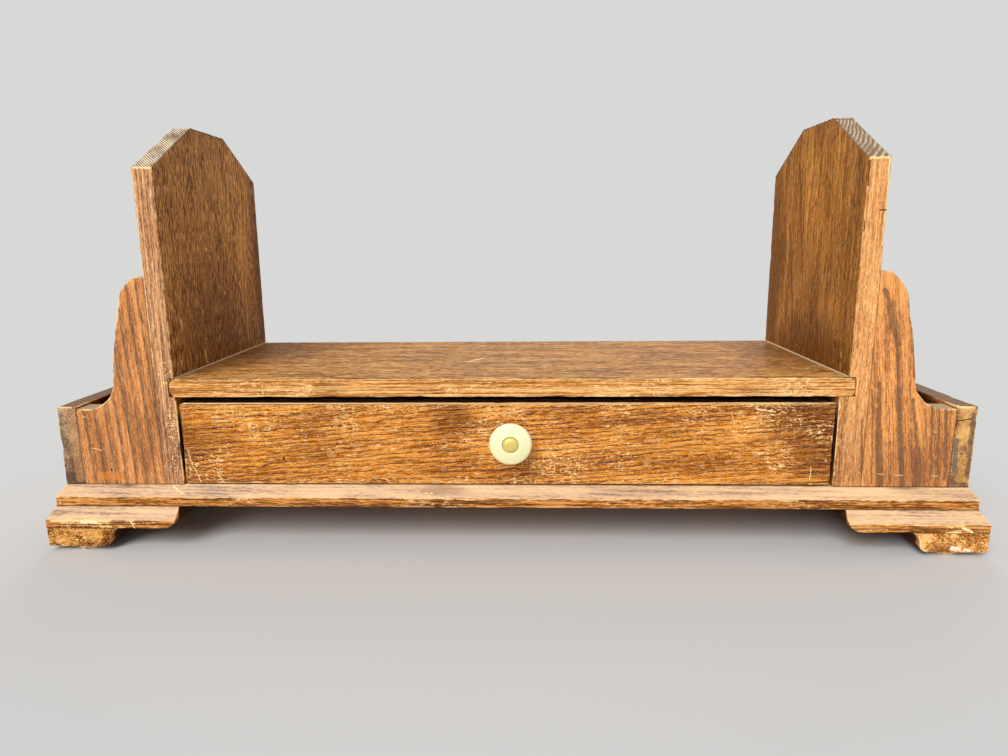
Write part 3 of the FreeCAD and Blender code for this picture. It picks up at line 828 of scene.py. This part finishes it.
DRAWER_SPOTS = {
    "rub": on_front(
        (-23.7, 96.5, 22, 22, 0.9), (42.7, 74.4, 34, 34, 0.9), (90.4, 118, 30, 12, 0.9),
        (207.3, 78.1, 26, 26, 0.75), (151, 107.1, 30, 30, 0.55), (-219.6, 113.7, 24, 16, 0.8),
        (-194.9, 98.9, 26, 26, 0.7), (4, 91.5, 42, 42, 0.7), (3.3, 113.6, 30, 16, 0.9),
        (-125, 100, 60, 50, 0.5), (-240, 68, 30, 30, 0.7), (210, 112, 40, 20, 0.8),
        (90, 74, 50, 50, 0.45), (183.9, 96.7, 14, 14, 0.8), (236, 100, 24, 24, 0.7),
        (0, 56, 240, 7, 0.6), (-90, 120, 170, 8, 0.7), (0, 88, 420, 120, 0.15),
    ),
    # Painted shade: the gaps beside the drawer, the drawer front's top face under the shelf and the gap at
    # its foot
    "soil": by_drawer(-261.2, 88, 44) + by_drawer(254.8, 88, 44) + [
        ((0.0, FRONT + 6.0, 121.6), (ACROSS, 5.4, 1.4), 3.0),
        ((0.0, FRONT + 1.0, 53.3), (ACROSS, 6.0, 1.0), 3.0),
    ],
    "stain": on_front(
        (-262, 80, 34, 34, 0.8), (-230, 95, 26, 26, 0.4), (254, 96, 52, 52, 0.9),
        (230, 118, 44, 44, 0.9), (-42, 108, 26, 26, 0.7), (-150, 84, 30, 30, 0.4),
        (10, 66, 30, 30, 0.4), (110, 104, 40, 40, 0.3),
    ),
}
DRAWER_MARKS = (
    front_marks(
        CREAM, 2.4,
        (-257.5, 82.9, -253.9, 69.5, 0.35), (-253.9, 69.5, -248, 54.2, 0.4),
        (-234.6, 64.4, -229.8, 54.2, 0.4), (175.2, 114.3, 178.1, 103.9, 0.4),
        (194.2, 115.9, 208.1, 113.5, 0.7), (238.8, 69.1, 238.8, 58.5, 0.4),
        share=0.9,
    ),
    front_marks(
        (255, 220, 160), 1.8,
        (-254, 119.4, -60, 119.6, 0.5), (-60, 119.6, 90, 119.4, 0.6), (90, 119.4, 249, 119.5, 0.5),
        share=0.5,
    ),
    front_marks(INK, 0.0, (-178.8, 74.6, -178.8, 75.6, 1.1)),
)
drawer_wood = oak(
    "drawer_front_oak", "XZY", 1.0, ORANGE,
    fibre=(7.0, 0.9, 0.9), crisp=0.8, ring=3.9, lean=20.0, drift=-0.07,
    line=(92, 50, 32), lines=0.95, pits=0.15, flecks=0.3,
    # The drawer front's level top is painted dark: painted shade of the gap under the shelf
    ledge=1.2, top_tone_and_shade=0.75, top_tone_and_shade_colour=(62, 40, 24), marks=DRAWER_MARKS,
)
drawer_corners = ((False, True, 3.5), (True, False, 4.5))
worn_board("drawer_front", drawer_wood, (4.0, 8.0, 5.0), ease=0.9, corners=drawer_corners, **DRAWER_SPOTS)

# Painted shade inside a tray, on the outer side of an upright
TRAY_SHADE = (6, 50, 106, 84, 1.3)
UPRIGHT_CELL = (8.0, 8.0, 4.0)
SEAT_LINE = (230, 204, 170)
LEFT_SPOTS = {
    "stain": on_side(
        -INNER,
        # The second spot is painted shade: the inner side darker towards the shelf
        (93, 215, 13, 170, 0.9), (0, 140, 130, 130, 0.72), (-40, 250, 40, 60, 0.25),
    ) + on_front((-267, 88, 6, 46, 0.7), (-271, 96, 12, 56, 0.45)),
    "glow": on_side(-INNER, (50, 235, 40, 120, 0.5), (-88, 195, 6, 8, 0.8)),
    "rub": on_front((-266, 96, 9, 44, 0.9), (-270, 146, 8, 16, 0.9)),
    # Painted shade inside the tray and in the gap beside the drawer
    "soil": on_side(-OUTER, TRAY_SHADE) + by_drawer(-261.8, 86, 42),
}
RIGHT_SPOTS = {
    "stain": on_side(
        INNER,
        # The third spot is painted shade: the inner side darker towards the shelf
        (88, 210, 26, 170, 0.7), (62, 234, 9, 14, 0.7), (-20, 130, 120, 66, 0.85),
        (-20, 200, 40, 60, 0.3), (26, 240, 7, 80, 0.6), (48, 210, 5, 70, 0.5),
        (-42, 230, 6, 60, 0.4),
    ) + on_front((271, 84, 14, 54, 0.6)),
    "glow": on_side(INNER, (0, 290, 100, 90, 0.5), (36, 200, 6, 90, 0.4)),
    # Painted shade inside the tray
    "soil": on_side(OUTER, TRAY_SHADE),
}
LEFT_MARKS = (
    side_marks(
        -INNER, (250, 184, 112), 1.6,
        (-38.4, 154.6, -36.8, 143.8, 1.1), (-74.9, 185, -74, 178, 1.3),
        (-19, 239, -19, 240.5, 1.2), (11.4, 199.5, 11.4, 200.7, 1.2),
    ),
    side_marks(
        -INNER, (224, 160, 92), 2.0,
        (77, 305.9, 60, 199.2, 1.5), (66, 296, 50, 190, 1.1),
        (60, 199.2, 56, 150, 1.3), (40, 310, 30, 250, 1.2),
        share=0.8,
    ),
    clip_marks(-INNER, 1.1),
    level_mark(-INNER, SHELF_TOP + 0.4, SEAT_LINE, 0.6),
    front_marks((250, 214, 156), 2.0, (-277.6, 301.8, -277.9, 150, 0.8), share=0.5),
    front_marks((250, 214, 156), 2.0, (-277, 301.4, -263.6, 301.6, 1.3)),
    front_marks((244, 196, 120), 1.6, (-263.2, 122, -263, 56, 0.8)),
)
RIGHT_MARKS = (
    side_marks(
        INNER, (96, 54, 22), 3.0,
        (37.6, 309.3, 14.6, 214.9, 2.8), (52.3, 256.7, 26.1, 161.1, 2.6), (-26.1, 178.1, -31.6, 149.8, 2.6),
        share=0.5,
    ),
    side_marks(
        INNER, (226, 180, 120), 1.0,
        (-77, 148.4, -78.2, 142.2, 0.7), (-77.2, 156.4, -77.8, 153.3, 0.7),
    ),
    clip_marks(INNER, 1.0),
    level_mark(INNER, SHELF_TOP + 0.4, SEAT_LINE, 0.6),
    front_marks((252, 218, 150), 2.0, (277.6, 301.8, 277.9, 240, 0.9), (263.6, 301.4, 277, 301.8, 1.1)),
    front_marks((116, 80, 54), 2.0, (274.6, 107.1, 279.2, 55.3, 1), share=0.8),
    front_marks(
        (110, 66, 30), 1.6,
        (273.4, 264.6, 277.7, 264.6, 0.7), (263, 299, 263.4, 282, 0.8),
        (263, 258, 263.2, 250, 0.7), (262.9, 158, 264, 156, 0.8),
    ),
)
SAW_LEFT = {
    "cell": 0.65, "strips": 5, "slant": 1.13, "fan": 0.0, "wander": 0.8,
    "pitch": 2.6, "depth": 0.6, "sharp": 1.0, "tones": (0.14, 1.3),
}
SAW_RIGHT = {
    "cell": 1.5, "strips": 12, "slant": 2.6, "fan": 0.025, "wander": 3.0,
    "pitch": 9.0, "depth": 0.8, "sharp": 1.6, "tones": (0.34, 0.8),
}
left_wood = oak(
    "left_upright_oak", "ZYX", 2.0, LEFT_BROWN, TAN,
    fibre=(9.0, 1.2, 0.9), gain=0.9, crisp=0.8, streak=(60.0, 2.6, 1.3), pull=0.6, ring=2.6, lean=60.0,
    line=(88, 52, 24), lines=0.3, flecks=1.0, fleck=(218, 156, 90),
    wear=0.5, dirt=0.4, marks=LEFT_MARKS, sawn=True,
)
worn_board("left_upright", left_wood, UPRIGHT_CELL, saw=SAW_LEFT, **LEFT_SPOTS)
right_wood = oak(
    "right_upright_oak", "ZYX", 3.0, BROWN, GOLDEN,
    fibre=(7.0, 1.4, 0.9), gain=0.45, crisp=0.5, streak=(80.0, 4.0, 1.5), pull=0.4, edge_pull=0.9,
    ring=3.0, lean=60.0,
    line=(84, 48, 20), lines=0.25, pits=0.45, flecks=0.25, fleck=(220, 158, 90),
    wear=0.45, dirt=0.4, marks=RIGHT_MARKS, sawn=True,
)
glued = ("right_guide_strip",)
worn_board("right_upright", right_wood, UPRIGHT_CELL, saw=SAW_RIGHT, joined=glued, **RIGHT_SPOTS)

SHELF_LINE = (226, 200, 164)
SHELF_SPOTS = {
    "stain": [
        ((-250.0, 40.0, SHELF_TOP), (90.0, 120.0, 6.0), 0.6),
        ((262.0, 30.0, SHELF_TOP), (70.0, 120.0, 6.0), 0.7),
    ] + on_front((-138, 133, 26, 8, 0.7), (-60, 131, 20, 6, 0.4), (190, 130, 24, 6, 0.4)),
    "rub": on_front(
        (-190, 133, 90, 12, 0.75), (-30, 134, 80, 10, 0.65),
        (110, 133, 60, 12, 0.75), (225, 133, 50, 12, 0.75),
    ),
}
SCRATCH = [((-35.6, -20.6, SHELF_TOP), (-23.2, -1.5, SHELF_TOP), 1.4)]
SHELF_MARKS = (
    level_mark(0.7 - INNER, SHELF_TOP, SHELF_LINE, 0.55),
    level_mark(INNER - 0.7, SHELF_TOP, SHELF_LINE, 0.55),
    ((1.0, 1.0, 0.0), (240, 220, 190), 1.5, 1.2, SCRATCH),
    front_marks(
        (255, 224, 160), 1.4,
        (-264, 139.7, -80, 139.9, 0.6), (-80, 139.9, 120, 139.7, 0.5), (120, 139.7, 264, 139.8, 0.6),
        share=0.5,
    ),
    front_marks(
        INK, 0.3,
        (-267.4, 129.6, -267.4, 136.8, 0.7), (-267.2, 137.2, -264.6, 140.1, 0.6),
        (-267.2, 129.2, -264.6, 126.2, 0.6),
    ),
)
shelf_wood = oak(
    "shelf_oak", "XYZ", 4.0, SHELF, LEDGE,
    fibre=(16.0, 2.3, 0.9), gain=0.55, crisp=0.9, streak=(90.0, 4.6, 1.3), pull=0.6, ring=3.0, lean=55.0,
    lines=0.4, pits=0.3, flecks=0.3, ledge=1.2, dirt=0.9, marks=SHELF_MARKS,
)
shelf_corners = ((False, True, 3.6), (False, False, 3.6), (True, False, 3.0))
worn_board("shelf", shelf_wood, (5.0, 10.0, 8.0), corners=shelf_corners, **SHELF_SPOTS)

CHIPS = [
    ((-366.5, -102.0, 45.5), (-363.5, -102.4, 39.0), 1.5),
    ((366.8, -102.0, 45.0), (366.8, -102.4, 38.0), 1.2),
]
BASE_MARKS = (
    ((1.0, 1.0, 1.0), CREAM, 1.0, 0.9, [((-271.4, -96.9, 51.6), (-262.3, -100.6, 46.6), 0.6)]),
    ((1.0, 1.0, 1.0), (250, 214, 160), 2.5, 0.45, CHIPS),
)
BASE_STAINS = ((-300, 60, 0.2), (-240, 26, 0.35), (-54, 34, 0.5), (102, 56, 0.45), (330, 40, 0.3))
BASE_SPOTS = {
    "rub": on_front(
        (-216, 41, 30, 9, 0.6), (-60, 41, 60, 9, 0.6),
        (110, 41, 50, 9, 0.6), (226, 41, 40, 9, 0.6),
        y=BASE_FRONT,
    ),
    "stain": [((x, -98.0, 49.0), (wide, 16.0, 7.0), most) for x, wide, most in BASE_STAINS],
    # Painted shade on the floors of the trays
    "soil": [((x, 0.0, 53.0), (38.0, 130.0, 5.0), 1.0) for x in (-312.0, 312.0)],
}
base_wood = oak(
    "base_oak", "XYZ", 5.0, BASE, upward_sheen_and_wear=SHEEN_AND_WEAR,
    fibre=(18.0, 1.0, 0.9), crisp=0.8, streak=(90.0, 1.6, 1.5), pull=1.3, ring=4.0, lean=75.0, drift=0.03,
    wear=0.6, marks=BASE_MARKS,
)
worn_board("base_board", base_wood, (5.0, 12.0, 8.0), chips=0.7, **BASE_SPOTS)


def rack_side(
    side, way, seed, bracket_tones, wall_tones, block_tones, ring, fineness, lines, drift,
    bracket_marks, bracket_spots, wall_marks, wall_spots, plate_marks, plate_rubs, block_marks, block_rub,
):
    """The brackets, end wall and foot of one side. way is 1 on the right and -1 on the left."""
    bracket = oak(
        side + "_bracket_oak", "ZXY", seed, bracket_tones,
        fibre=(7.0, 0.9, 0.9), gain=0.6, crisp=0.5, streak=(44.0, 1.3, 1.3), pull=0.6,
        ring=ring, fineness=fineness, lean=10.0, drift=drift, sway=3.0, ripple=0.6,
        line=(118, 84, 60), lines=lines, band=0.3, pits=0.3, flecks=0.15,
        dirt=0.45, top_tone_and_shade=0.85, top_tone_and_shade_colour=(174, 158, 130), marks=bracket_marks,
    )
    worn_board(side + "_front_bracket", bracket, (6.0, 8.0, 5.0), **bracket_spots)
    rear = oak(
        side + "_rear_bracket_oak", "ZXY", seed + 1.0, BRACKET,
        fibre=(12.0, 0.9, 0.9), gain=0.5, ring=9.0, lean=10.0,
    )
    # Painted shade inside the tray, on the rear bracket
    rear_shade = [((way * 320.0, REAR_BRACKET, 86.0), (90.0, 6.0, 60.0), 1.0)]
    worn_board(side + "_rear_bracket", rear, soil=rear_shade)
    wall = oak(
        side + "_wall_oak", "YZX", seed + 2.0, ORANGE, BRACKET, wall_tones,
        top_tone_and_shade=0.8, top_tone_and_shade_colour=(112, 98, 84), marks=wall_marks,
    )
    # Painted shade inside the tray, on the end wall
    wall_shade = on_side(way * TRAY_WALL, (6, 80, 106, 80, 1.4))
    worn_board(side + "_end_wall", wall, (4.0, 8.0, 5.0), soil=wall_shade, **wall_spots)
    plate = oak(
        side + "_plate_oak", "XYZ", seed + 3.0, BASE, upward_sheen_and_wear=SHEEN_AND_WEAR,
        fibre=(18.0, 1.0, 0.9), streak=(80.0, 1.6, 1.6), pull=1.3, ring=4.0, lean=75.0, drift=0.02,
        marks=plate_marks,
    )
    # Painted shade on the foot plate's inner end and cove, under the overhang
    plate_shade = in_depth(way * 262, 28, 8, 22, 4) + in_depth(way * 269, 19, 11, 8, 4)
    plate_rub = on_front(*plate_rubs, y=PLATE_FRONT)
    worn_board(side + "_foot_plate", plate, (4.0, 12.0, 8.0), soil=plate_shade, rub=plate_rub)
    block = oak(
        side + "_block_oak", "YXZ", seed + 4.0, BASE, BRACKET, block_tones,
        fibre=(6.0, 2.0, 1.1), flecks=0.4, marks=block_marks,
    )
    # Painted shade on the foot block's inner end and cove, under the overhang
    block_shade = in_depth(way * 312, 13, 17, 12, 4) + in_depth(way * 323, 4, 13, 9, 4)
    worn_board(side + "_foot_block", block, soil=block_shade, rub=on_front(block_rub, y=BLOCK_FRONT))


rack_side(
    "left", -1.0, 6.0, bracket_tones=BRACKET, wall_tones=LEFT_WALL, block_tones=LEFT_BLOCK,
    ring=8.4, fineness=1.9, lines=0.8, drift=0.045,
    bracket_marks=(
        front_marks((226, 136, 54), 3.0, (-331, 59.6, -314, 60, 4), share=0.5),
        front_marks(
            (250, 190, 132), 1.2,
            (-341, 109.8, -337.6, 109.5, 0.5), (-336, 83.6, -328, 81.6, 0.5),
            share=0.9,
        ),
        front_marks((70, 44, 30), 0.5, (-321.6, 65.8, -321.6, 64.6, 1), share=0.9),
    ),
    bracket_spots={"stain": on_front((-330, 100, 26, 30, 0.35))},
    wall_marks=(front_marks((196, 142, 94), 3.0, (-349.4, 112, -348.8, 58, 5), share=0.5),),
    wall_spots={
        "glow": on_front((-348, 98, 5, 26, 0.4)),
        "stain": on_front((-353, 58, 14, 22, 0.6), (-358, 90, 5, 40, 0.3)),
    },
    plate_marks=(
        front_marks((84, 48, 24), 1.2, (-372, 23.2, -262, 23, 0.5), depth=PLATE_AHEAD),
        front_marks(
            CREAM, 2.0,
            (-344.4, 25.2, -331.3, 25.2, 1.5), (-302.9, 25.6, -299.6, 18.7, 0.6),
            depth=PLATE_AHEAD,
        ),
    ),
    block_marks=(),
    plate_rubs=((-332, 24, 52, 12, 0.9), (-284, 23, 24, 8, 0.7)),
    block_rub=(-352, 12, 36, 14, 0.6),
)
rack_side(
    "right", 1.0, 12.0, bracket_tones=PEACH, wall_tones=RIGHT_WALL, block_tones=RIGHT_BLOCK,
    ring=9.0, fineness=0.9, lines=0.3, drift=0.12,
    bracket_marks=(
        front_marks(
            (116, 84, 60), 2.4,
            (285, 136, 288, 98, 2.6), (288, 98, 293.1, 55.4, 4), (280, 130.8, 286.9, 55.3, 1),
            (296, 165.4, 299.4, 130.8, 1.4), (299.4, 130.8, 309.9, 55.4, 3.2), (311.4, 122.9, 318.6, 83.2, 2),
            (318.6, 83.2, 322.2, 55.5, 4.2), (326.1, 119, 331.7, 60, 1.5), (337, 115, 342.3, 60, 1.9),
            (331.5, 118, 337, 60, 1), (282.8, 207, 287, 196, 2.6), (287, 196, 291, 180, 4),
            (291, 180, 296, 165.4, 2.6),
            share=0.7,
        ),
        front_marks((136, 82, 52), 2.0, (303, 192, 311, 142, 2), share=0.6),
        front_marks(
            CREAM, 1.2,
            (290.7, 63.6, 295.3, 63.2, 0.4), (303.8, 62.8, 310, 62.6, 0.4), (331.4, 62.1, 336.8, 62, 0.4),
            share=0.7,
        ),
    ),
    bracket_spots={
        "stain": on_front((318, 66, 50, 40, 0.6)),
        "glow": on_front((292, 146, 12, 30, 0.25), (297, 92, 4.5, 44, 0.35)),
    },
    wall_marks=(
        front_marks((222, 166, 84), 3.0, (350, 112, 352.6, 88, 4.6), (353.6, 75, 353.6, 60, 5), share=0.45),
        front_marks((120, 92, 66), 2.4, (358, 112, 359.6, 66, 2.4), share=0.6),
        front_marks((134, 94, 64), 3.0, (354, 85, 358, 78, 3), share=0.6),
        front_marks((120, 94, 78), 1.0, (345, 55.4, 361, 55.4, 1.8), share=0.5),
        front_marks((124, 106, 92), 2.0, (347.4, 91, 348.6, 66, 2.8), share=0.8),
        front_marks(INK, 1.0, (346.2, 106.4, 357.9, 107.9, 0.5)),
    ),
    wall_spots={
        "glow": on_front((352, 97, 7, 16, 0.5), (350, 61, 6, 9, 0.4)),
        "stain": on_front((347, 108, 6, 12, 0.6), (359, 84, 4, 44, 0.6)),
    },
    plate_marks=(
        front_marks((96, 56, 30), 1.2, (262, 23.4, 372, 23.2, 0.4), depth=PLATE_AHEAD),
        front_marks(
            CREAM, 2.4,
            (352.6, 24.6, 359.7, 20.5, 1.3), (340, 20.2, 352, 20.6, 0.8),
            depth=PLATE_AHEAD,
        ),
    ),
    block_marks=(
        front_marks(
            (255, 240, 214), 4.0,
            (346, 7.6, 351, 7.4, 2.6), (356, 6.2, 360, 6, 1.5),
            depth=BLOCK_AHEAD, share=0.9,
        ),
    ),
    plate_rubs=((352, 24, 30, 12, 0.9), (296, 23, 36, 8, 0.7)),
    block_rub=(346, 12, 40, 14, 0.6),
)

strip_wood = oak("strip_oak", "ZXY", 20.0, STRIP, pits=0.3, dirt=0.15)
# Painted shade of the gap beside the drawer, on the guide strip
worn_board("right_guide_strip", strip_wood, joined=("right_upright",), soil=by_drawer(255.4, 86, 60))
worn_board("back_panel", oak("back_panel_oak", "XZY", 21.0, BROWN))
BOX = (("left_side", "YZX"), ("right_side", "YZX"), ("back", "XZY"), ("bottom", "XYZ"))
for name, grain in BOX:
    worn_board("drawer_" + name, oak("drawer_" + name + "_wood", grain, 22.0, INSIDE, lines=0.4))

# Outlines are (radius, height) points in millimetres, the height from the drawer's face towards the front
OUTWARD = (0.0, -1.0, 0.0)
KNOB_OUTLINE = (
    [(2.3, 0.0), (8.1, 0.0), (8.5, 0.4)]
    + bend((8.5, 0.5), (7.0, 2.2), (6.6, 5.6))
    + bend((6.6, 5.8), (6.8, 10.2), (13.6, 11.8))
    + bend((13.8, 11.85), (16.5, 12.5), (16.5, 13.7))
    + bend((16.5, 13.8), (16.4, 15.6), (13.8, 16.15))
    + bend((13.6, 16.2), (10.0, 17.3), (7.4, 17.4))
    + bend((7.3, 17.4), (6.5, 17.4), (6.4, 16.6))
    + [(6.4, 16.2), (2.3, 16.2), (2.3, 0.0)]
)
THREAD = [point for k in range(12) for point in ((2.0, -21.0 + 0.7 * k), (1.6, -20.65 + 0.7 * k))]
BOLT_OUTLINE = (
    [(0.0, -21.2)]
    + THREAD
    + [(2.0, -12.5), (2.0, 16.2), (5.7, 16.2)]
    + bend((6.0, 16.4), (5.9, 18.5), (0.0, 18.6), 12)
)
knob_low, knob_high = BOXES["drawer_knob"]
knob_centre = Vector(((knob_low.x + knob_high.x) / 2.0, FRONT * MM, (knob_low.z + knob_high.z) / 2.0))
turned("drawer_knob", knob_centre, OUTWARD, KNOB_OUTLINE, glaze())
old_brass = metal("old_brass", (230, 206, 114), (214, 190, 104), 0.4, 0.42, 0.02, 0.3)
turned("knob_bolt", knob_centre, OUTWARD, BOLT_OUTLINE, old_brass)

# The fixings and glides are the CAD solids themselves, with a metal put on
FIXINGS = {
    "brass": metal("brass", (214, 184, 98), (140, 112, 56), 0.46, 0.35),
    "steel": metal("dark_iron", (120, 112, 104), (70, 52, 40), 0.52, 0.5),
    "glide_steel": metal("worn_nickel", (220, 198, 160), (136, 108, 80), 0.42, 0.45, metallic=0.3),
}
for node, part in frame["nodes"].items():
    finish = FIXINGS.get(SLOTS[node])
    if finish:
        for slot in part.material_slots:
            slot.material = finish


def stage():
    """A pale floor, and a pale background that mirrors see too."""
    bpy.ops.mesh.primitive_plane_add(size=FLOOR_SIZE, location=(0.0, 0.0, 0.0))
    floor = bpy.context.active_object
    floor.name = "floor"
    paper = Finish("pale_floor")
    paper.shader.inputs["Base Color"].default_value = FLOOR_COLOUR
    paper.shader.inputs["Roughness"].default_value = 0.9
    paper.shader.inputs["Specular IOR Level"].default_value = 0.0
    floor.data.materials.append(paper.material)

    world = bpy.data.worlds.new("studio")
    bpy.context.scene.world = world
    world.use_nodes = True
    nodes = world.node_tree.nodes
    links = world.node_tree.links
    nodes.clear()
    rays = nodes.new("ShaderNodeLightPath")
    seen = nodes.new("ShaderNodeMath")
    seen.operation = "MAXIMUM"
    links.new(rays.outputs["Is Camera Ray"], seen.inputs[0])
    links.new(rays.outputs["Is Glossy Ray"], seen.inputs[1])
    soft = nodes.new("ShaderNodeBackground")
    soft.inputs["Color"].default_value = (1.0, 1.0, 1.0, 1.0)
    soft.inputs["Strength"].default_value = SOFT_LIGHT
    shown = nodes.new("ShaderNodeBackground")
    shown.inputs["Color"].default_value = BACKDROP
    shown.inputs["Strength"].default_value = 1.0
    mixed = nodes.new("ShaderNodeMixShader")
    links.new(seen.outputs[0], mixed.inputs[0])
    links.new(soft.outputs[0], mixed.inputs[1])
    links.new(shown.outputs[0], mixed.inputs[2])
    out = nodes.new("ShaderNodeOutputWorld")
    links.new(mixed.outputs[0], out.inputs["Surface"])


def lamp(name, toward, level, spread):
    """Soft light from far off. level is how bright a white card facing it looks, and toward points at it."""
    light = bpy.data.lights.new(name, "SUN")
    light.energy = level * math.pi
    light.angle = math.radians(spread)
    made = bpy.data.objects.new(name, light)
    made.rotation_mode = "QUATERNION"
    made.rotation_quaternion = (-Vector(toward)).to_track_quat("-Z", "Y")
    bpy.context.scene.collection.objects.link(made)


def eye():
    """The camera, where the photograph was taken from."""
    front = BOXES["left_upright"][0].y
    top = BOXES["base_board"][1].z
    look = Vector((
        -math.sin(EYE_YAW) * math.cos(EYE_PITCH),
        math.cos(EYE_YAW) * math.cos(EYE_PITCH),
        -math.sin(EYE_PITCH),
    ))
    level = Vector((math.cos(EYE_YAW), math.sin(EYE_YAW), 0.0))
    upright = level.cross(look)
    right = level * math.cos(EYE_ROLL) + upright * math.sin(EYE_ROLL)
    up = upright * math.cos(EYE_ROLL) - level * math.sin(EYE_ROLL)
    data = bpy.data.cameras.new("eye")
    data.sensor_width = SENSOR
    data.lens = SENSOR * PHOTO_FOCAL / PHOTO_WIDE
    camera = bpy.data.objects.new("eye", data)
    camera.rotation_mode = "QUATERNION"
    camera.rotation_quaternion = Matrix((right, up, -look)).transposed().to_quaternion()
    camera.location = (EYE_RIGHT * MM, front - EYE_BEFORE_CASE * MM, top + EYE_ABOVE_BASE * MM)
    bpy.context.scene.collection.objects.link(camera)
    bpy.context.scene.camera = camera


stage()
for lamp_values in LAMPS:
    lamp(*lamp_values)
eye()
bpy.context.scene.view_settings.view_transform = "Standard"
